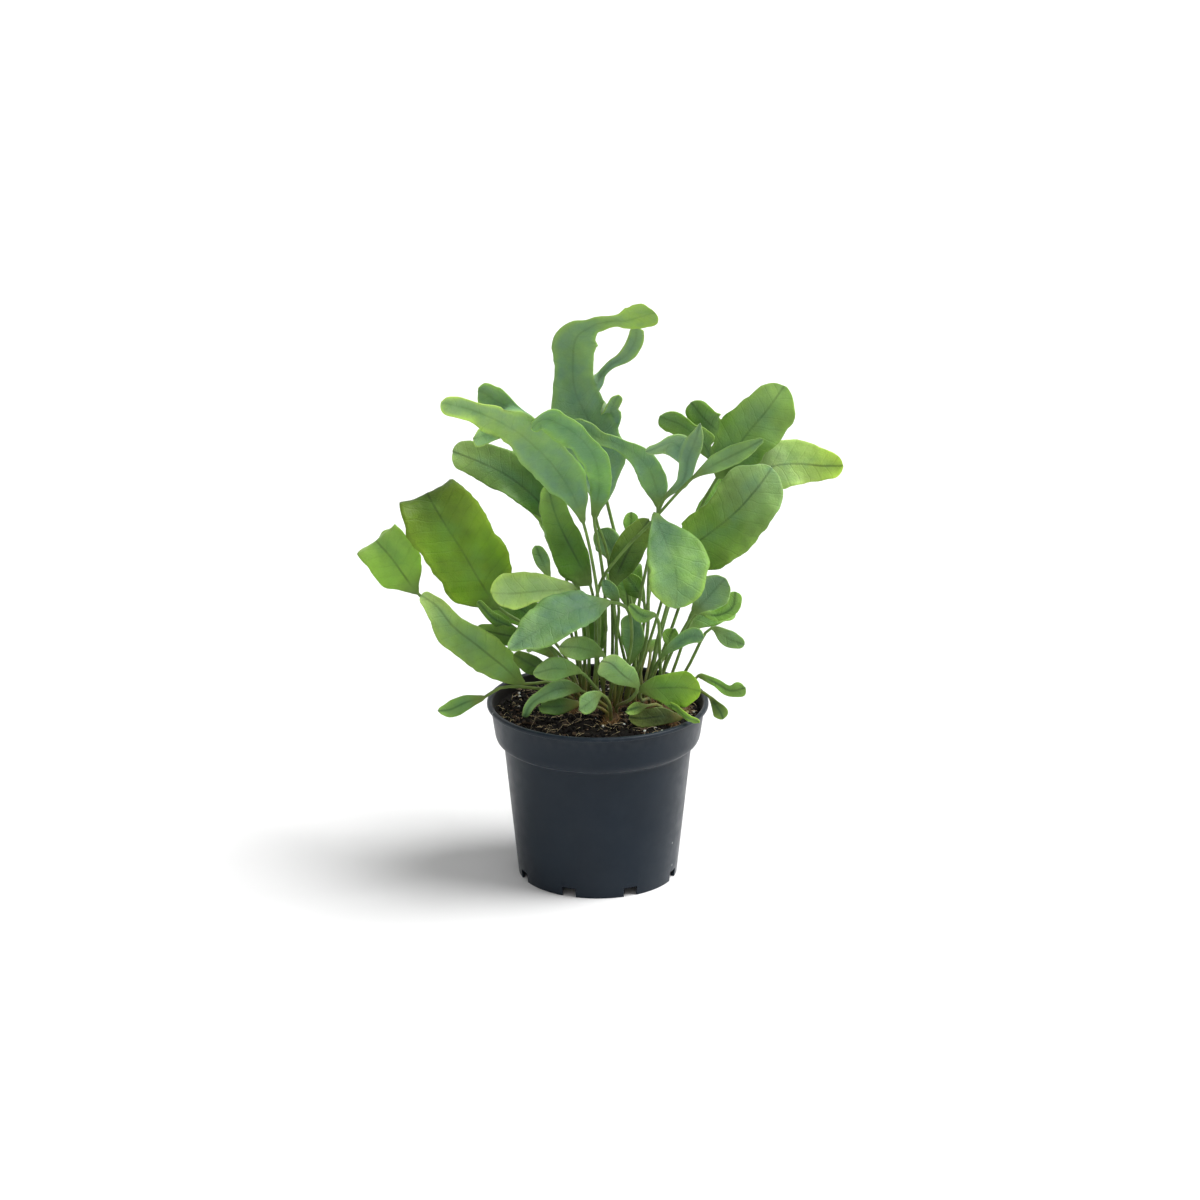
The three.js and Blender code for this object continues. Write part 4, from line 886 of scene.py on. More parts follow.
FRONDS = [
    dict(name="frond_crest", colour="blue", foot=(7, 3),
         stalk=[(8, 6, 130), (7, 8, 164), (4, 9, 183)],
         rib=[(-1, 10, 198, 1.5), (1, 11, 213, 7), (0, 12, 232, 16, 17), (-5, 10, 252, 13, 27),
              (-12, 8, 269, 12, 13), (-13, 6, 286, 11.5), (-11, 1, 300, 12, 12), (-3, -4, 307.5, 5),
              (5, -9, 310.5, 4.5), (14, -14, 312.5, 5.5), (22.5, -19, 317, 8, 10), (29.5, -24, 319.5, 9.5, 14)],
         wave=1.5, face=(0, -1, 0.2),
         lobes=[("right", 3.7, 4.4, [(2, 11, 277, 2), (7, 8, 283.5, 2.2), (14.5, 5, 289, 3.4),
                                     (19.5, 2, 297, 3.6), (20.5, -3, 306, 3)]),
                ("right", 2.6, 3.3, [(7, 4, 259, 3.6), (11, 0, 268, 2.6)])]),
    dict(name="frond_arching_left", colour="blue", foot=(-3, -3),
         stalk=[(1, -10, 147), (-3, -14, 182)],
         rib=[(-7.5, -15.5, 203, 1.5), (-12.5, -19, 218, 7, 5), (-18.5, -23, 230, 12, 10.5),
              (-25.5, -28, 241, 12.5, 12), (-33.5, -33, 251, 12.5, 11), (-42, -38, 260, 12, 8),
              (-53, -42, 267, 8.5, 9), (-65, -46, 273, 4.5, 5.5), (-80, -50, 278.5, 6.5)],
         lobes=[("right", 4.9, 6, [(-53.5, -36, 275.5, 7.5), (-61.5, -32, 279.5, 6.5)]),
                ("left", 5.3, 6.3, [(-64, -49, 259, 4.5)])]),
    dict(name="frond_folded_over", colour="blue", foot=(3, -1),
         stalk=[(4, -2, 156), (1, -4, 184)],
         rib=[(-2, -8, 204, 1.5), (0.5, -15, 218.5, 5, 4), (0.5, -24, 232.5, 6.5, 6), (-3, -31, 246, 7, 8),
              (-10, -36, 256.5, 5.5, 10), (-19, -39, 264, 8, 10), (-28, -42, 267.5, 10, 8),
              (-34, -46, 263.5, 6.5)]),
    dict(name="frond_ribbon", colour="blue", foot=(15, 4),
         stalk=[(23, 4, 131), (28, 5, 159), (31, 6, 187)],
         rib=[(32, 6, 205, 1.5), (31, 5, 216, 6.5), (27.5, 4, 226.5, 7.5), (22, 3, 234, 6), (11, 2, 241, 3.5),
              (1, 1, 245, 3.5), (-7, 0, 251, 4.5), (-13, -1, 255, 3)]),
    dict(name="frond_shaded_left", colour="dark", foot=(-8, 6),
         stalk=[(-7, 12, 134), (-12, 18, 163)],
         rib=[(-22, 20, 190, 2), (-32, 24, 203, 9, 7), (-47, 28, 215, 14, 10), (-63, 32, 222.5, 11, 9),
              (-78, 34, 228, 8.5)],
         wave=1.5),
    dict(name="frond_tall_folded", colour="dark", foot=(-1, 2),
         stalk=[(-1, -1, 144)],
         rib=[(-4, -2, 164, 1.5, 6), (-11, -4, 179, 7, 12.5), (-19, -6, 196, 8.5, 9.5), (-24, -8, 211, 7.5),
              (-26, -9, 222, 4.5)],
         cup=0.35),
    dict(name="frond_broad_left", colour="dark", foot=(-15, -1),
         stalk=[(-21, 3, 120), (-36, 5, 137)],
         rib=[(-53, 4, 149, 3), (-62, 2, 163, 19, 17.5), (-72, 0, 182, 23, 21), (-81, 0, 197, 22, 21.5),
              (-88, 4, 208, 20, 20), (-91, 11, 211.5, 16), (-90, 20, 207, 10)],
         wave=1.5),
    dict(name="frond_far_left", colour="light", foot=(-12, 9),
         stalk=[(-29, 12, 106), (-53, 15, 120), (-77, 15, 136)],
         rib=[(-97, 14, 154, 1.5), (-104.5, 14, 164.5, 12.5, 11.5), (-111.5, 15, 174.5, 15, 13.5),
              (-119, 20, 181.5, 13.5, 13), (-119, 28, 180.5, 8)]),
    dict(name="frond_long_low_left", colour="mid", foot=(-17, -6),
         stalk=[(-20, -9, 108), (-28, -13, 113)],
         rib=[(-39, -16, 113, 1.5), (-51, -18, 124, 8.5, 9), (-64, -20, 136, 10, 12), (-77, -20, 147, 6.5, 11),
              (-86, -18, 158, 4, 6.5), (-94, -16, 163, 3)]),
    dict(name="frond_over_rim_left", colour="mid", foot=(-12, -5),
         stalk=[(-18, -13, 106), (-36, -22, 113), (-52, -28, 115)],
         rib=[(-60, -31, 111, 1.5), (-70, -34, 109, 3.8), (-78, -38, 106.5, 4.2), (-85, -42, 107, 1.8)]),
    dict(name="frond_front_left", colour="blue", foot=(10, -8),
         stalk=[(18, -22, 140), (15, -30, 161)],
         rib=[(7, -34, 165, 1.5), (-4, -40, 165, 8.5), (-19, -50, 163, 14.5), (-33, -61, 157, 10.5),
              (-46, -70, 151, 2.5)],
         face=(0, -0.6, 0.9)),
    dict(name="frond_sage_left", colour="sage", foot=(-5, 1),
         stalk=[(-5, -6, 134), (-8, -11, 157)],
         rib=[(-12, -14, 166, 2), (-23, -20, 167, 8, 5), (-36, -26, 168, 10.5, 6.5), (-47, -31, 169, 11, 9.5),
              (-55.5, -35, 171, 8.5, 9)],
         face=(0, -0.7, 0.9)),
    dict(name="frond_behind_low_left", colour="dark", foot=(-10, 0),
         stalk=[(-19, -3, 123)],
         rib=[(-28, -5, 132, 1), (-42, -7, 136, 4.5), (-53, -8, 139, 5.5), (-65, -9, 142, 2.5)],
         lobes=[("right", 1.2, 1.9, [(-56, -9, 148, 2.5), (-64, -8, 157, 1.6)])]),
    dict(name="frond_low_left", colour="dark", foot=(-8, -4),
         stalk=[(-19, -17, 116)],
         rib=[(-24, -22, 121, 1.5), (-35, -28, 128, 5), (-44, -32, 135, 2.5)]),
    dict(name="frond_oval_front_left", colour="mid", foot=(6, -12),
         stalk=[(-3, -27, 117)],
         rib=[(-9, -34, 126, 1.5), (-22, -42, 131, 7), (-33, -48.5, 130.5, 3)]),
    dict(name="frond_under_front_left", colour="mid", foot=(6, -8),
         stalk=[(8, -22, 120)],
         rib=[(3, -30, 134, 1.5), (-8, -36, 140, 7), (-20, -42, 143.5, 4.5)]),
    dict(name="frond_front_middle", colour="light", foot=(10, -14),
         stalk=[(17, -33, 110)],
         rib=[(21, -44, 121, 1.5), (13, -50, 131, 8, 9), (6, -55, 139, 7.5, 9), (2, -58, 141, 4.5)]),
    dict(name="frond_front_right", colour="mid", foot=(28, -2),
         stalk=[(23, -24, 107)],
         rib=[(23, -29, 113.5, 2.5), (35, -33, 117, 9.5, 8), (46.5, -36, 118, 11.5, 9.5), (54.5, -38, 117, 7)],
         lobes=[("right", 0.8, 1.3, [(40, -37, 108, 2), (46, -38, 103, 2.2), (53, -38, 99, 2)])]),
    dict(name="frond_knob_right", colour="light", foot=(46, -5),
         stalk=[(50, -5, 109)],
         rib=[(54, -6, 114, 1.5), (63, -8, 111, 2), (71, -10, 107, 2.6), (79.5, -12, 109.5, 5.6)]),
    dict(name="frond_over_rim_right", colour="olive", foot=(41, -11),
         stalk=[(53, -18, 110)],
         rib=[(59.5, -22, 108, 1), (62, -25, 105.5, 1.8), (65.5, -27, 101, 4), (67, -28, 97.5, 3.2)]),
    dict(name="frond_olive_on_soil", colour="olive", foot=(41, -17),
         stalk=[(48, -24, 100)],
         rib=[(45, -27, 98, 1.5), (34, -28, 99, 4.5), (24, -29, 98, 4.5), (17, -29, 99, 2)]),
    dict(name="frond_olive_small", colour="olive", foot=(36, -20),
         stalk=[(31, -26, 105)],
         rib=[(26, -31, 106, 1), (21, -34, 106, 3), (16, -36, 105, 1.5)]),
    dict(name="frond_silver_edged", colour="sage", foot=(6, -17),
         stalk=[(-2, -22, 107)],
         rib=[(-9, -26, 113, 1.5), (-19, -32, 116, 5), (-29, -37, 114, 4), (-36, -38, 108, 2.5),
              (-39, -33, 100, 1.5)]),
    dict(name="frond_under_silver", colour="mid", foot=(5, -21),
         stalk=[(-2, -23, 103)],
         rib=[(-9, -24, 104.5, 1.5), (-21, -28, 104.5, 4.5), (-30, -32, 106, 3)]),
    dict(name="frond_oval_front", colour="sage", foot=(7, -25),
         stalk=[(6, -32, 108)],
         rib=[(2, -38, 115, 1.5), (-5, -44, 113, 6.5), (-10.5, -48, 110, 4.5)]),
    dict(name="frond_drooping_front", colour="blue", foot=(16, 0),
         stalk=[(26, -6, 134), (27, -10, 164), (28, -13, 193)],
         rib=[(30, -18, 209, 1.5), (32, -23, 203.5, 5, 6), (35.5, -31, 197, 11, 16), (39.5, -38, 188.5, 15, 20),
              (41.5, -43, 177.5, 15.5, 15.5), (40.5, -44, 165, 8)],
         face=(0, -0.2, 1)),
    dict(name="frond_dark_upright", colour="dark", foot=(11, 4),
         stalk=[(10, 4, 131)],
         rib=[(8, 4, 159, 1.5), (13, 4, 174, 7.5), (20, 4, 188, 8.5), (27.5, 4, 199, 4.5)]),
    dict(name="frond_broad_right", colour="dark", foot=(28, 2),
         stalk=[(31, 3, 126), (38, 6, 153)],
         rib=[(43, 9, 178, 2.5), (52.5, 8, 184.5, 18, 13.5), (64, 6, 194, 20.5, 15), (75, 4, 204.5, 20.5, 16.5),
              (84.5, 4, 216, 16, 18), (92.5, 6, 227, 11)],
         wave=1.8),
    dict(name="frond_upper_right", colour="mid", foot=(26, 10),
         stalk=[(36, 12, 140), (45, 18, 172), (55, 22, 199)],
         rib=[(64, 24, 216, 2.5), (71, 22, 228, 13, 12), (79.5, 20, 241.5, 15, 16), (89.5, 20, 254, 16.5, 13.5),
              (99, 20, 268, 10.5)],
         lobes=[("left", 1.2, 1.9, [(57.5, 18, 250.5, 7.5), (49.5, 15, 261, 5)]),
                ("left", 0.4, 1, [(54, 16, 240.5, 7), (44, 13, 249, 6), (33, 11, 254, 7)])]),
    dict(name="frond_twisted", colour="sage", foot=(20, 0),
         stalk=[(21, 1, 143), (27, 0, 178)],
         rib=[(35, -3, 212, 1), (45, -6, 223, 3), (48, -8, 237, 4.5), (51, -10, 246, 4), (54, -12, 257, 1)],
         lobes=[("left", 1.7, 2.9, [(38, -13, 247, 7.5), (25, -17, 243, 3)])]),
    dict(name="frond_edge_on", colour="sage", foot=(0, -2),
         stalk=[(-1, -4, 134), (1, -5, 165), (13, -7, 184), (28, -9, 201)],
         rib=[(50, -13, 227, 1), (62, -17, 236, 4.5), (75, -24, 245, 4.5), (86, -30, 253, 1.5)]),
    dict(name="frond_far_right", colour="light", foot=(28, 14),
         stalk=[(40, 22, 131), (54, 30, 169), (69, 34, 195)],
         rib=[(82, 36, 214, 2.5), (96, 36, 219.5, 13, 14), (109, 36, 220.5, 12, 13), (121, 34, 220, 8, 9.5),
              (132, 32, 220.5, 5.5)]),
    dict(name="frond_grey_right", colour="sage", foot=(33, -3),
         stalk=[(36, -4, 117)],
         rib=[(51, -4, 148.5, 2), (58.5, -6, 158, 7, 8), (67.5, -8, 169, 10, 9)]),
    dict(name="frond_strip_right", colour="light", foot=(36, 0),
         stalk=[(43, 4, 120)],
         rib=[(53.5, 7, 145, 1), (64, 8, 143.5, 2.8), (72.5, 8, 148, 3.6), (74, 8, 157, 3.6)]),
    dict(name="frond_blue_right", colour="blue", foot=(24, -1),
         stalk=[(28, -12, 114)],
         rib=[(33, -20, 128.5, 1), (43, -24, 139.5, 3), (51.5, -28, 145, 4.2), (56.5, -30.5, 145, 4.8)]),
    dict(name="frond_outer_right", colour="sage", foot=(40, -1),
         stalk=[(50, -1, 120)],
         rib=[(61, 0, 139, 1), (70, -2, 134, 4.5), (79, -4, 131, 2.5)]),
    dict(name="frond_round_right", colour="light", foot=(32, 1),
         stalk=[],
         rib=[(38, 4, 125, 1), (39, 4, 133, 4), (41, 4, 137, 2.5)]),
    dict(name="frond_blade_middle", colour="blue", foot=(12, 0),
         stalk=[],
         rib=[(17, -2, 119, 1.5), (19.5, -2.5, 133, 5.5, 6.5), (17.5, -3.5, 148, 4, 5)]),
    dict(name="frond_dark_inner", colour="dark", foot=(3.5, 3),
         stalk=[(1, 7, 113)],
         rib=[(0, 8, 119, 1.5), (-1, 9, 131, 6), (-1.5, 9, 142, 6.5), (0, 9, 152, 3.5)]),
    dict(name="frond_cupped_middle", colour="mid", foot=(34, -6),
         stalk=[(33, -18, 133)],
         rib=[(31, -24, 154, 1), (24, -29, 156, 4), (17, -33, 163, 1.5)],
         cup=0.4),
    dict(name="frond_behind_droop", colour="dark", foot=(22, 7),
         stalk=[(24, 10, 129)],
         rib=[(25, 12, 150, 1), (20, 12, 158, 5), (15, 12, 165, 2.5)]),
    dict(name="frond_pale_middle", colour="sage", foot=(19, 5),
         stalk=[(9, 14, 145)],
         rib=[(9, 16, 168, 1.5), (6, 17, 181, 7.5), (0, 18, 189, 5)]),
    dict(name="frond_lime_tip", colour="light", foot=(24, 14),
         stalk=[(16, 18, 155)],
         rib=[(17, 22, 181, 1), (18, 23, 191, 4), (18, 24, 197, 2.5)]),
    dict(name="frond_small_middle", colour="blue", foot=(9, -3),
         stalk=[(10, -5, 134)],
         rib=[(11, -6, 155, 1), (7, -8, 163, 4), (3, -9, 169, 2)]),
    dict(name="frond_curled_left", colour="sage", foot=(-9, 13),
         stalk=[(-15, 11, 135)],
         rib=[(-26, 14, 163, 1.5), (-30, 16, 172, 3.8), (-33.5, 17, 180, 2.6)]),
    dict(name="frond_back_tall", colour="dark", foot=(24, 18),
         stalk=[(17, 28, 150), (7, 38, 190)],
         rib=[(2, 41, 210, 2), (-2, 45, 228, 9), (-5, 49, 244, 11.5), (-8, 54, 254, 9), (-12, 59, 258, 5)],
         face=(0.8, -0.5, 0.2)),
    dict(name="frond_back_high_left", colour="light", foot=(-8, 18),
         stalk=[(-14, 28, 140)],
         rib=[(-22, 36, 176, 2), (-34, 46, 200, 9), (-48, 54, 212, 10), (-60, 62, 214, 8), (-68, 66, 210, 5)]),
    dict(name="frond_back_high_right", colour="mid", foot=(28, 18),
         stalk=[(40, 33, 145)],
         rib=[(51, 42, 170, 2), (64, 48, 188, 11), (76, 56, 200, 12), (86, 62, 204, 8), (92, 65, 202, 4.5)]),
    dict(name="frond_back_left", colour="dark", foot=(-7, 22),
         stalk=[(-8, 32, 130)],
         rib=[(-12, 41, 150, 2), (-18, 47, 168, 8), (-25, 53, 180, 9), (-32, 59, 184, 6)],
         face=(-0.8, -0.5, 0.3)),
    dict(name="frond_back_right", colour="mid", foot=(22, 26),
         stalk=[(32, 40, 130)],
         rib=[(38, 45, 148, 2), (46, 51, 160, 8), (54, 57, 166, 8), (61, 62, 164, 5)]),
    dict(name="frond_back_middle", colour="dark", foot=(23, 22),
         stalk=[(20, 34, 118)],
         rib=[(18, 44, 134, 2), (16, 52, 148, 9), (14, 60, 152, 11), (12, 67, 146, 8), (11, 70, 139, 5)]),
    dict(name="frond_back_low_left", colour="dark", foot=(-11, 20),
         stalk=[(-18, 32, 112)],
         rib=[(-28, 41, 122, 2), (-40, 48, 132, 9), (-53, 56, 134, 10), (-63, 60, 130, 6)]),
    dict(name="frond_back_low_right", colour="mid", foot=(27, 22),
         stalk=[(38, 36, 112)],
         rib=[(48, 44, 122, 2), (59, 50, 130, 8), (69, 56, 131, 8), (76, 59, 127, 5)]),
    dict(name="frond_back_small_left", colour="mid", foot=(-12, 14),
         stalk=[(-18, 24, 104)],
         rib=[(-24, 34, 110, 1.5), (-32, 44, 114, 5), (-39, 50, 110, 3)]),
    dict(name="frond_back_small_right", colour="light", foot=(26, 26),
         stalk=[(28, 37, 104)],
         rib=[(29, 44, 110, 1.5), (28, 52, 114, 5), (26, 60, 109, 3)]),
]

STALK_RADIUS = 1.0
STALK_END_RADIUS = 0.85
SOCKET_FLOOR = 92.5   # where a stalk's foot stands in the rhizome
SOCKET_TOP = 98.4     # up to where the stalk rises straight
WIDE_BLADE = 9        # the half-width from which a blade has more points across
NO_PAINTED_LIGHT = ((1, 1, 1), (1, 1, 1))
# Painted light and shade, mixed with each frond's own colour: what the red, green and blue of a frond are
# multiplied by, at its base and at its end.
PAINTED_LIGHT_TONES = {
    "frond_crest": ((1.2, 1.05, 1.5), (1.45, 1.25, 0.8)),
    "frond_arching_left": ((1, 1, 1.1), (1.8, 1.5, 1.2)),
    "frond_folded_over": ((1.1, 1.15, 0.95), (1.05, 1.1, 1)),
    "frond_shaded_left": ((0.7, 0.8, 0.9), (1.3, 1.1, 2)),
    "frond_tall_folded": ((0.75, 0.85, 0.6), (0.9, 0.9, 1)),
    "frond_broad_left": ((1.8, 1.5, 0.7), (0.2, 0.25, 0.1)),
    "frond_far_left": ((1.1, 1.05, 0.8), (1.2, 1.1, 1)),
    "frond_long_low_left": ((1.3, 1.15, 1.3), (1.4, 1.15, 1.6)),
    "frond_front_left": ((0.55, 0.6, 0.7), (0.7, 0.7, 0.7)),
    "frond_sage_left": ((1.2, 1.05, 0.8), (1.2, 1.05, 0.8)),
    "frond_low_left": ((0.4, 0.45, 0.4), (0.5, 0.5, 0.4)),
    "frond_behind_low_left": ((0.7, 0.75, 0.8), (1.1, 1, 1.2)),
    "frond_under_silver": ((0.4, 0.45, 0.35), (0.5, 0.55, 0.4)),
    "frond_oval_front_left": ((0.9, 0.9, 1.2), (1, 0.95, 1.2)),
    "frond_under_front_left": ((0.9, 0.9, 1.3), (1.1, 0.95, 1.3)),
    "frond_front_middle": ((1, 0.95, 1.6), (1.1, 0.95, 1.5)),
    "frond_front_right": ((1.1, 1.1, 0.7), (1.3, 1.25, 0.5)),
    "frond_olive_on_soil": ((0.8, 0.7, 1), (1, 0.8, 1)),
    "frond_drooping_front": ((0.6, 0.65, 0.6), (1.1, 1.05, 0.8)),
    "frond_ribbon": ((1.1, 1.05, 1.1), (1.3, 1.2, 1.3)),
    "frond_upper_right": ((1, 0.95, 1), (1.2, 1.1, 1.3)),
    "frond_twisted": ((1, 1, 1.4), (1.1, 1, 1.3)),
    "frond_grey_right": ((0.9, 0.9, 1.2), (1, 0.95, 1.3)),
    "frond_dark_upright": ((0.75, 0.7, 0.7), (0.9, 0.8, 0.8)),
    "frond_broad_right": ((1.5, 1.3, 1.3), (1.1, 1, 2.2)),
    "frond_far_right": ((1.9, 1.4, 3), (1.6, 1.3, 1)),
}
# How much of the waxy bloom a frond of each colour has.
BLOOM = {"blue": 0.85, "sage": 0.6, "mid": 0.32, "light": 0.2, "dark": 0.1, "olive": 0.03}
# Where the rows of a blade's round end lie, from its start to its tip.
ROUND_END = (0, 0.2, 0.4, 0.56, 0.69, 0.8, 0.88, 0.94, 0.98, 0.995)


def smooth(x):
    """A soft step from 0 to 1 while x goes from 0 to 1."""
    x = min(1.0, max(0.0, x))
    return x * x * (3 - 2 * x)


def between(a, b, amount):
    return a + (b - a) * amount


def smooth_between(values, place):
    """A value between the entries of a list, on a smooth curve through them."""
    last = len(values) - 1
    at = lambda i: values[min(last, max(0, i))]
    i = min(last - 1, int(place))
    t = place - i
    a, b, c, d = at(i - 1), at(i), at(i + 1), at(i + 2)
    return b + 0.5 * t * (c - a + t * (2 * a - 5 * b + 4 * c - d + t * (3 * (b - c) + d - a)))


def on_curve(points, place):
    """Point and direction on the smooth curve through points, at a place counted in its points."""
    last = len(points) - 1
    i = min(last - 1, int(place))
    t = place - i
    b, c = points[i], points[i + 1]
    a = points[i - 1] if i else 2 * b - c
    d = points[i + 2] if i + 2 <= last else 2 * c - b
    ab, bc, cd = (math.sqrt((q - p).length) for p, q in ((a, b), (b, c), (c, d)))
    leave = ((b - a) / ab - (c - a) / (ab + bc) + (c - b) / bc) * bc
    arrive = ((c - b) / bc - (d - b) / (bc + cd) + (d - c) / cd) * bc
    square, cube = 3 * (c - b) - 2 * leave - arrive, 2 * (b - c) + leave + arrive
    point = b + leave * t + square * t ** 2 + cube * t ** 3
    return point, (leave + 2 * t * square + 3 * t ** 2 * cube).normalized()


def carried_frames(points, places, start, up):
    """Centre, upward and rightward direction at each place. The upper face is carried along without turning."""
    centres, alongs = zip(*(on_curve(points, place) for place in places))
    ups = [None] * len(places)
    for order, first in ((range(start, len(places)), up), (range(start - 1, -1, -1), None)):
        carried = first or ups[start]
        for i in order:
            carried = ups[i] = (carried - alongs[i] * carried.dot(alongs[i])).normalized()
    return [(centre, up, along.cross(up)) for centre, along, up in zip(centres, alongs, ups)]


def rib_places(rib, keep=(), step=1.7):
    """Places along a rib, about a step apart, with the ones to keep among them, and finer at its round end."""
    last = len(rib) - 1
    reach = (Vector(rib[-1][:3]) - Vector(rib[-2][:3])).length
    round_from = last - min(0.9, rib[-1][3] / reach)
    places = []
    for i in range(last):
        span = (Vector(rib[i + 1][:3]) - Vector(rib[i][:3])).length
        parts = max(3, round(span / step))
        places += [i + j / parts for j in range(parts)]
    places = [p for p in places if p < round_from - 0.08 and all(abs(p - k) > 0.06 for k in keep)]
    return sorted([*places, *keep]), round_from, [between(round_from, last, q) for q in ROUND_END]


def half_widths(rib, place, round_from):
    """Half-widths of a blade at a place, to the left and to the right, rounded off towards its end."""
    last = len(rib) - 1
    q = min(1.0, max(0.0, (place - round_from) / (last - round_from)))
    sides = [point[-1] for point in rib], [point[3] for point in rib]
    return [max(0.4, smooth_between(widths, place)) * math.sqrt(1 - q * q) for widths in sides]


def columns(halves, number):
    """Places across a blade from -1 to 1, with three of them close to the midrib."""
    sides = []
    for half in halves:
        near, wide = min(0.3, 0.45 / half), min(0.55, 1.2 / half)
        outer = [between(wide, 1, i / (number // 2 - 1)) for i in range(1, number // 2)]
        sides.append([near, wide, *outer][:number // 2])
    return [-t for t in reversed(sides[0])] + [0.0] + sides[1]


class Blade:
    """The middle surface of a frond. Each point carries its thickness, its place on the blade and its masks."""

    def __init__(self, colour, settings, seed, tone):
        self.points, self.faces, self.marks = [], [], []
        self.colour, self.settings, self.seed, self.tone = colour, settings, seed, tone

    def add(self, point, **marks):
        self.points.append(point)
        self.marks.append(marks)
        return len(self.points) - 1

    def row(self, frame, halves, places, along, shape):
        """One row of points across the midrib, cupped and waved, with an uneven, ruffled margin."""
        centre, up, across = frame
        leafy, tip = shape["leafy"], shape["tip"]
        made = []
        for t in places:
            half = halves[t > 0]
            half += leafy * min(self.settings.fullness / MM, 0.2 * half)
            lift = shape["cup"] * half * t * t + shape["wave"] * math.sin(shape["phase"] + t * 1.3) * t * t
            margin = Vector((along / 10, math.copysign(3, t), self.seed))
            full = leafy * min(1, half / 8)
            ruffle = noise.noise(margin) + 0.3 * noise.noise(margin * 2.6)
            lift += full * self.settings.ruffle / MM * ruffle * abs(t) ** 2.4
            stray = noise.noise(margin * 0.9 + Vector((0, 0, 40)))
            stray += 0.5 * noise.noise(margin * 2.4 + Vector((0, 0, 80)))
            reach = half * t * (1 + full * self.settings.raggedness * stray * abs(t))
            stem = STALK_RADIUS * 1.9 * math.sqrt(1 - 0.9 * t * t)    # nearly round
            leaf = self.settings.blade / MM * between(1.15, 0.8, abs(t))
            made.append(self.add(centre + across * reach + up * lift, thick=between(stem, leaf, leafy),
                                 across=half * t, along=along, edge=abs(t), leafy=leafy, tip=tip))
        return made

    def bridge(self, near, far):
        """Faces between two rows."""
        self.faces += [(near[i], near[i + 1], far[i + 1], far[i]) for i in range(len(near) - 1)]

    def close(self, near, point, along):
        """Faces from the last row to the point at the end."""
        end = self.add(point, thick=self.settings.blade / MM * 0.8, across=0, along=along, edge=1, leafy=1,
                       tip=1)
        self.faces += [(near[i], near[i + 1], end) for i in range(len(near) - 1)]

    def normals(self, points):
        """The directions in which the middle surface faces at its points."""
        corners = np.array([(*f[:3], f[3] if len(f) > 3 else f[2]) for f in self.faces])
        p = points[corners]
        turned = np.cross(p[:, 2] - p[:, 0], p[:, 3] - p[:, 1])
        thin = corners[:, 2] == corners[:, 3]
        turned[thin] = np.cross(p[thin, 1] - p[thin, 0], p[thin, 2] - p[thin, 0])
        sums = np.zeros_like(points)
        for k in range(4):
            np.add.at(sums, corners[:, k], turned)
        return sums / np.maximum(np.linalg.norm(sums, axis=1, keepdims=True), 1e-12)

    def column_of(self, key):
        return np.array([marks[key] for marks in self.marks], float)

    def mesh(self, name):
        """The closed, thin body around the middle surface, with its measure and its masks as attributes."""
        points = np.array([tuple(p) for p in self.points])
        leafy, across, along = (self.column_of(key) for key in ("leafy", "across", "along"))
        uneven = self.settings.unevenness / MM
        stray = np.array([1.5 * noise.noise(p / 24 + Vector((3, 8, 5))) + noise.noise(p / 10)
                          + 0.4 * noise.noise(p / 4.2 + Vector((9, 5, 2))) for p in self.points])
        points += self.normals(points) * (uneven * stray * leafy)[:, None]
        normals = self.normals(points)
        half = self.column_of("thick") / 2
        ridge = np.exp(-(across / 0.62) ** 2) * leafy * (1 - 0.85 * self.column_of("tip"))
        upper = points + normals * (half - 0.10 * ridge)[:, None]
        lower = points - normals * (half + ridge * self.settings.midrib / MM)[:, None]
        number = len(points)
        faces = [*self.faces, *(tuple(i + number for i in reversed(face)) for face in self.faces)]
        sides = {(f[i], f[(i + 1) % len(f)]) for f in self.faces for i in range(len(f))}
        faces += [(b, a, a + number, b + number) for a, b in sorted(sides) if (b, a) not in sides]
        mesh = plain_mesh(name, np.vstack([upper, lower]) * MM, faces)
        self.paint(mesh, across * MM, along * MM)
        return mesh

    def paint(self, mesh, across, along):
        """The blade's measure as a UV map, and its colours, its masks and its painted light and shade as
        attributes.
        """
        corner = np.empty(len(mesh.loops), np.int32)
        mesh.loops.foreach_get("vertex_index", corner)
        measure = np.tile(np.stack([across, along], 1), (2, 1))[corner]
        mesh.uv_layers.new(name="blade").uv.foreach_set("vector", measure.ravel())
        tip, number = self.column_of("tip"), len(across)
        base, end = (np.array(getattr(self.settings, key)) for key in (self.colour, "tip"))
        towards = (tip ** 2.2 * 0.55)[:, None]
        tint = np.ones((2 * number, 4))
        tint[:, :3] = np.tile(base * (1 - towards) + end * towards, (2, 1))
        # Painted light and shade of the frond, from its base to its end.
        light = np.ones((2 * number, 4))
        first, last = map(np.array, self.tone)
        towards = (tip ** 1.4 * self.column_of("leafy"))[:, None]
        light[:, :3] = np.tile(first + (last - first) * towards, (2, 1))
        marks = np.ones((2 * number, 4))
        marks[:, 0] = np.tile(self.column_of("edge"), 2)
        marks[:, 1] = np.tile(self.column_of("leafy"), 2)
        marks[:, 2] = np.repeat([0.0, 1.0], number)
        marks[:, 3] = BLOOM[self.colour]
        for name, values in (("tint", tint), ("marks", marks), ("light", light)):
            mesh.attributes.new(name, "FLOAT_COLOR", "POINT").data.foreach_set("color", values.ravel())


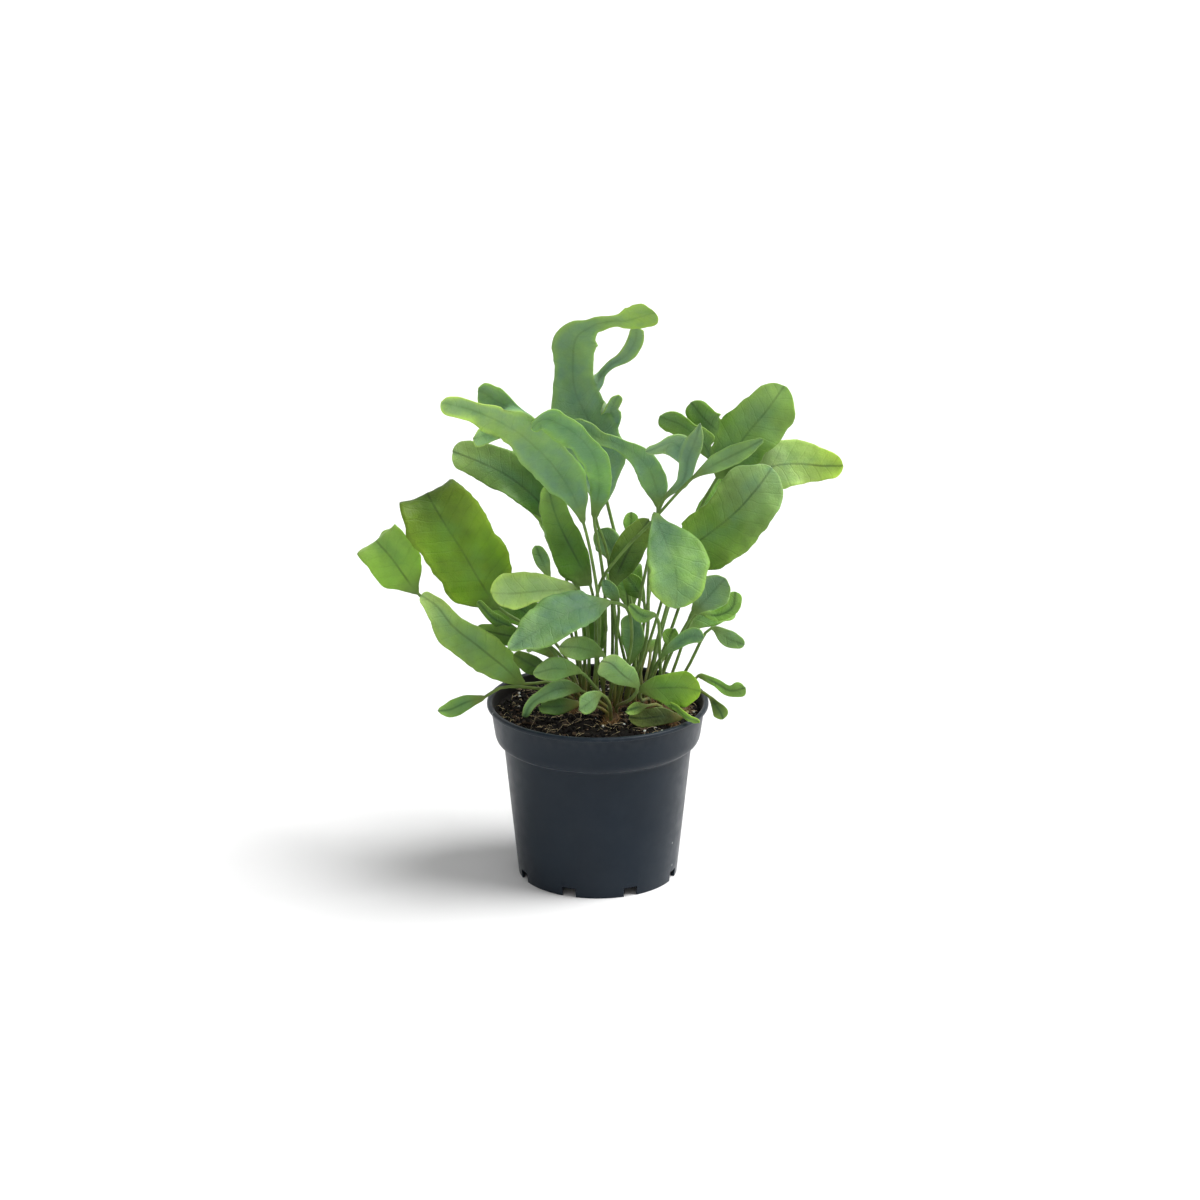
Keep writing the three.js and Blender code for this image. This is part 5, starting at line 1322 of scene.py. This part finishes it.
def add_lobe(blade, rows, lobe, cup):
    """A lobe leaves in the shape of the margin between two rows and turns into a blade of its own."""
    side, start, end, given = lobe
    root = [row for row in rows if start - 0.001 < row["place"] < end + 0.001]
    near = [row["points"][-1 if side == "right" else 0] for row in root]
    if side == "right":
        near.reverse()
    for index in near[1:-1]:
        blade.marks[index]["edge"] = 0.7
    margin = [blade.points[index].copy() for index in near]
    middle = sum(margin, Vector()) / len(margin)
    rib = [(*middle, (margin[0] - margin[-1]).length / 2), *given]
    line = [Vector(point[:3]) for point in rib]
    places, round_from, ends = rib_places(rib, step=1.5)
    places = [place for place in [*places, *ends] if place > 0.12]
    spread = [2 * i / (len(near) - 1) - 1 for i in range(len(near))]
    frames = carried_frames(line, places, 0, root[len(root) // 2]["frame"][1])
    along, before = root[len(root) // 2]["along"], middle
    for place, frame in zip(places, frames):
        along += (frame[0] - before).length
        before = frame[0]
        halves = half_widths(rib, place, round_from)
        tip = 0.6 * smooth(place / (len(rib) - 1)) ** 0.5
        far = blade.row(frame, halves, spread, along, dict(cup=cup, wave=0, phase=0, leafy=1, tip=tip))
        own = smooth(place / 0.9)
        for j, index in enumerate(far):
            pushed = margin[j] + frame[0] - middle
            blade.points[index] = blade.points[index].lerp(pushed, 1 - own)
            blade.marks[index]["edge"] *= 0.4 + 0.6 * own if 0 < j < len(far) - 1 else 1
        blade.bridge(near, far)
        near = far
    blade.close(near, line[-1], along)


def frond_places(rib, lobes, stalk):
    """Places of a frond's rows, counted in the points of its spine, and the first one of the blade."""
    keep = sorted({place for _side, start, end, _rib in lobes for place in (start, end)})
    places, round_from, ends = rib_places(rib, keep)
    rows = []
    for i in range(len(stalk)):
        following = stalk[i + 1] if i + 1 < len(stalk) else Vector(rib[0][:3])
        parts = max(1, round((following - stalk[i]).length / 5))
        rows += [i + j / parts for j in range(parts)]
    return rows + [place + len(stalk) for place in [*places, *ends]], len(rows), round_from


def make_frond(settings, painted, name, colour, foot, stalk, rib, face=FRONT, cup=0.12, wave=1, lobes=()):
    """A frond of the table: its stalk and blade row by row, then its lobes."""
    stalk = [Vector((*foot, SOCKET_FLOOR)), Vector((*foot, SOCKET_TOP)), *map(Vector, stalk)]
    spine = [*stalk, *(Vector(point[:3]) for point in rib)]
    places, first, round_from = frond_places(rib, lobes, stalk)
    frames = carried_frames(spine, places, first, Vector(face))
    starts = [0.0]
    for near, far in zip(frames, frames[1:]):
        starts.append(starts[-1] + (far[0] - near[0]).length)
    number = 21 if max(point[3] for point in rib) >= WIDE_BLADE else 15
    seed = foot[0] * 0.7 + foot[1] * 1.3 + rib[-1][2] * 0.11
    blade = Blade(colour, settings, seed, PAINTED_LIGHT_TONES.get(name, NO_PAINTED_LIGHT))
    rows = []
    for station, frame, start in zip(places, frames, starts):
        place = station - len(stalk)
        thin = between(STALK_RADIUS, STALK_END_RADIUS, station / len(stalk))
        halves = half_widths(rib, place, round_from) if place > 0 else (thin, thin)
        grown_in = min(1.0, max(0.0, place))
        along = start - starts[first]
        shape = dict(cup=cup * grown_in, wave=wave * grown_in * min(1, halves[1] / 8),
                     phase=place * 2.6 + foot[0], leafy=smooth(place), tip=smooth(place / (len(rib) - 1)))
        points = blade.row(frame, halves, columns(halves, number), along, shape)
        if rows:
            blade.bridge(rows[-1]["points"], points)
        rows.append(dict(place=place, points=points, frame=frame, along=along))
    blade.close(rows[-1]["points"], spine[-1], rows[-1]["along"])
    for lobe in lobes:
        add_lobe(blade, rows, lobe, cup)
    piece = new_object(name + "_leaf", blade.mesh(name + "_leaf"))
    piece.data.materials.append(painted)
    settle(piece, f"frond_{colour}_green", name)


# ---- Stage -------------------------------------------------------------------------------------------------

CAMERA_TARGET = Vector((1.22, 0, 155)) * MM
CAMERA_DISTANCE = 2.0
CAMERA_ELEVATION = math.radians(18.42)
LENS = 111.93


def soft_sun(name, towards, spread, strength):
    """A broad, even light that shines along a direction, with soft shadows."""
    light = bpy.data.lights.new(name, "SUN")
    light.angle, light.energy = math.radians(spread), strength
    lamp = new_object(name, light)
    lamp.rotation_euler = Vector(towards).to_track_quat("-Z", "Y").to_euler()


def make_stage(stage):
    """A floor that bends up into a backdrop, two soft lights, a white sky and the camera."""
    back, bend, steps = 2.6, 1.2, 16
    line = [(-3.0, 0)] + [(back - bend + bend * math.sin(a), bend - bend * math.cos(a))
                          for a in (i * math.pi / 2 / steps for i in range(steps + 1))] + [(back, 4.0)]
    points = [(x, y, z) for y, z in line for x in (-4, 4)]
    faces = [(2 * i, 2 * i + 1, 2 * i + 3, 2 * i + 2) for i in range(len(line) - 1)]
    floor = new_object("floor", plain_mesh("floor", points, faces))
    floor.data.shade_smooth()
    floor.data.materials.append(stage_material(stage))
    soft_sun("key", (-0.62, 0.03, -0.79), 44, stage.key)
    soft_sun("fill", (0.15, 0.7, -0.7), 80, stage.fill)
    world = bpy.data.worlds.new("daylight")
    world.use_nodes = True
    sky = world.node_tree
    # The backdrop stays white where the floor ends, and lights the plant only as strongly as the daylight.
    seen = add(sky, "ShaderNodeLightPath").outputs["Is Camera Ray"]
    sky.links.new(calc(sky, "MAXIMUM", seen, stage.daylight), sky.nodes["Background"].inputs["Strength"])
    sky.nodes["Background"].inputs["Color"].default_value = (1.0, 1.0, 1.0, 1.0)
    bpy.context.scene.world = world
    camera = bpy.data.cameras.new("camera")
    camera.lens, camera.sensor_width, camera.sensor_fit = LENS, 36, "HORIZONTAL"
    camera.clip_end = 20
    viewer = new_object("camera", camera)
    direction = Vector((0, -math.cos(CAMERA_ELEVATION), math.sin(CAMERA_ELEVATION)))
    viewer.location = CAMERA_TARGET + direction * CAMERA_DISTANCE
    viewer.rotation_euler = (-direction).to_track_quat("-Z", "Y").to_euler()
    bpy.context.scene.camera = viewer
    bpy.context.scene.view_settings.view_transform = "Standard"


# ---- Operators ---------------------------------------------------------------------------------------------

class FERN_OT_stage(bpy.types.Operator):
    """Sets up the pale floor, the studio light and the camera"""
    bl_idname = "fern.stage"
    bl_label = "Stage"

    def execute(self, context):
        make_stage(context.scene.fern_stage)
        return {"FINISHED"}


class FERN_OT_effects(bpy.types.Operator):
    """Builds the shader groups that the materials share"""
    bl_idname = "fern.effects"
    bl_label = "Shared effects"

    def execute(self, context):
        cloud_effect()
        fleck_effect()
        vein_effect()
        return {"FINISHED"}


class FERN_OT_pot(bpy.types.Operator):
    """Turns the nursery pot with its lip, collar, step, drainage notches and drain holes"""
    bl_idname = "fern.pot"
    bl_label = "Pot"

    def execute(self, context):
        make_pot(context.scene.fern_pot)
        return {"FINISHED"}


class FERN_OT_soil(bpy.types.Operator):
    """Fills the pot with soil"""
    bl_idname = "fern.soil"
    bl_label = "Soil"

    def execute(self, context):
        make_soil(context.scene.fern_soil)
        return {"FINISHED"}


class FERN_OT_litter(bpy.types.Operator):
    """Scatters crumbs, bark chips, perlite and fibres over the soil"""
    bl_idname = "fern.litter"
    bl_label = "Soil litter"

    def execute(self, context):
        make_soil_litter(context.scene.fern_soil)
        return {"FINISHED"}


class FERN_OT_rhizome(bpy.types.Operator):
    """Grows the creeping stem over the soil, with its golden scales"""
    bl_idname = "fern.rhizome"
    bl_label = "Rhizome"

    def execute(self, context):
        make_rhizome(context.scene.fern_rhizome)
        return {"FINISHED"}


class FERN_OT_fronds(bpy.types.Operator):
    """Grows one group of fronds: the tall ones, the low ones or those at the back"""
    bl_idname = "fern.fronds"
    bl_label = "Fronds"

    group: EnumProperty(name="Group", description="Which fronds to grow", default="tall", items=[
        ("tall", "Tall", "The fronds that rise over the others"),
        ("low", "Low", "The fronds in the middle and over the rim"),
        ("back", "Back", "The fronds behind the others")])

    def execute(self, context):
        settings = context.scene.fern_fronds
        painted = bpy.data.materials.get("frond_skin") or frond_material(settings)
        for frond in FRONDS:
            if frond_group(frond) == self.group:
                make_frond(settings, painted, **frond)
        return {"FINISHED"}


def frond_group(frond):
    if frond["name"].startswith("frond_back"):
        return "back"
    return "tall" if max(point[2] for point in frond["rib"]) > 190 else "low"


class FERN_PT_panel(bpy.types.Panel):
    """Lists the settings and the pieces of the fern"""
    bl_idname = "FERN_PT_panel"
    bl_label = "Potted Fern"
    bl_space_type = "VIEW_3D"
    bl_region_type = "UI"
    bl_category = "Potted Fern"

    def draw(self, context):
        for title, key, operators in PANEL_ROWS:
            box = self.layout.box()
            box.label(text=title)
            settings = getattr(context.scene, key)
            for name in settings.bl_rna.properties.keys():
                if name not in ("rna_type", "name"):
                    box.prop(settings, name)
            for operator in operators:
                box.operator(operator)


PANEL_ROWS = [
    ("Stage", "fern_stage", ["fern.stage", "fern.effects"]),
    ("Pot", "fern_pot", ["fern.pot"]),
    ("Soil", "fern_soil", ["fern.soil", "fern.litter"]),
    ("Rhizome", "fern_rhizome", ["fern.rhizome"]),
    ("Fronds", "fern_fronds", ["fern.fronds"]),
]
SETTINGS = {"fern_stage": StageSettings, "fern_pot": PotSettings, "fern_soil": SoilSettings,
            "fern_rhizome": RhizomeSettings, "fern_fronds": FrondSettings}
CLASSES = [*SETTINGS.values(), FERN_OT_stage, FERN_OT_effects, FERN_OT_pot, FERN_OT_soil, FERN_OT_litter,
           FERN_OT_rhizome, FERN_OT_fronds, FERN_PT_panel]


def register():
    for kind in CLASSES:
        bpy.utils.register_class(kind)
    for name, kind in SETTINGS.items():
        setattr(bpy.types.Scene, name, PointerProperty(type=kind))


def unregister():
    for name in SETTINGS:
        delattr(bpy.types.Scene, name)
    for kind in reversed(CLASSES):
        bpy.utils.unregister_class(kind)


def main():
    """Builds the whole fern piece by piece."""
    register()
    bpy.ops.fern.effects()
    bpy.ops.fern.stage()
    bpy.ops.fern.pot()
    bpy.ops.fern.soil()
    bpy.ops.fern.litter()
    bpy.ops.fern.rhizome()
    for group in ("tall", "low", "back"):
        bpy.ops.fern.fronds(group=group)


if __name__ == "__main__":
    main()
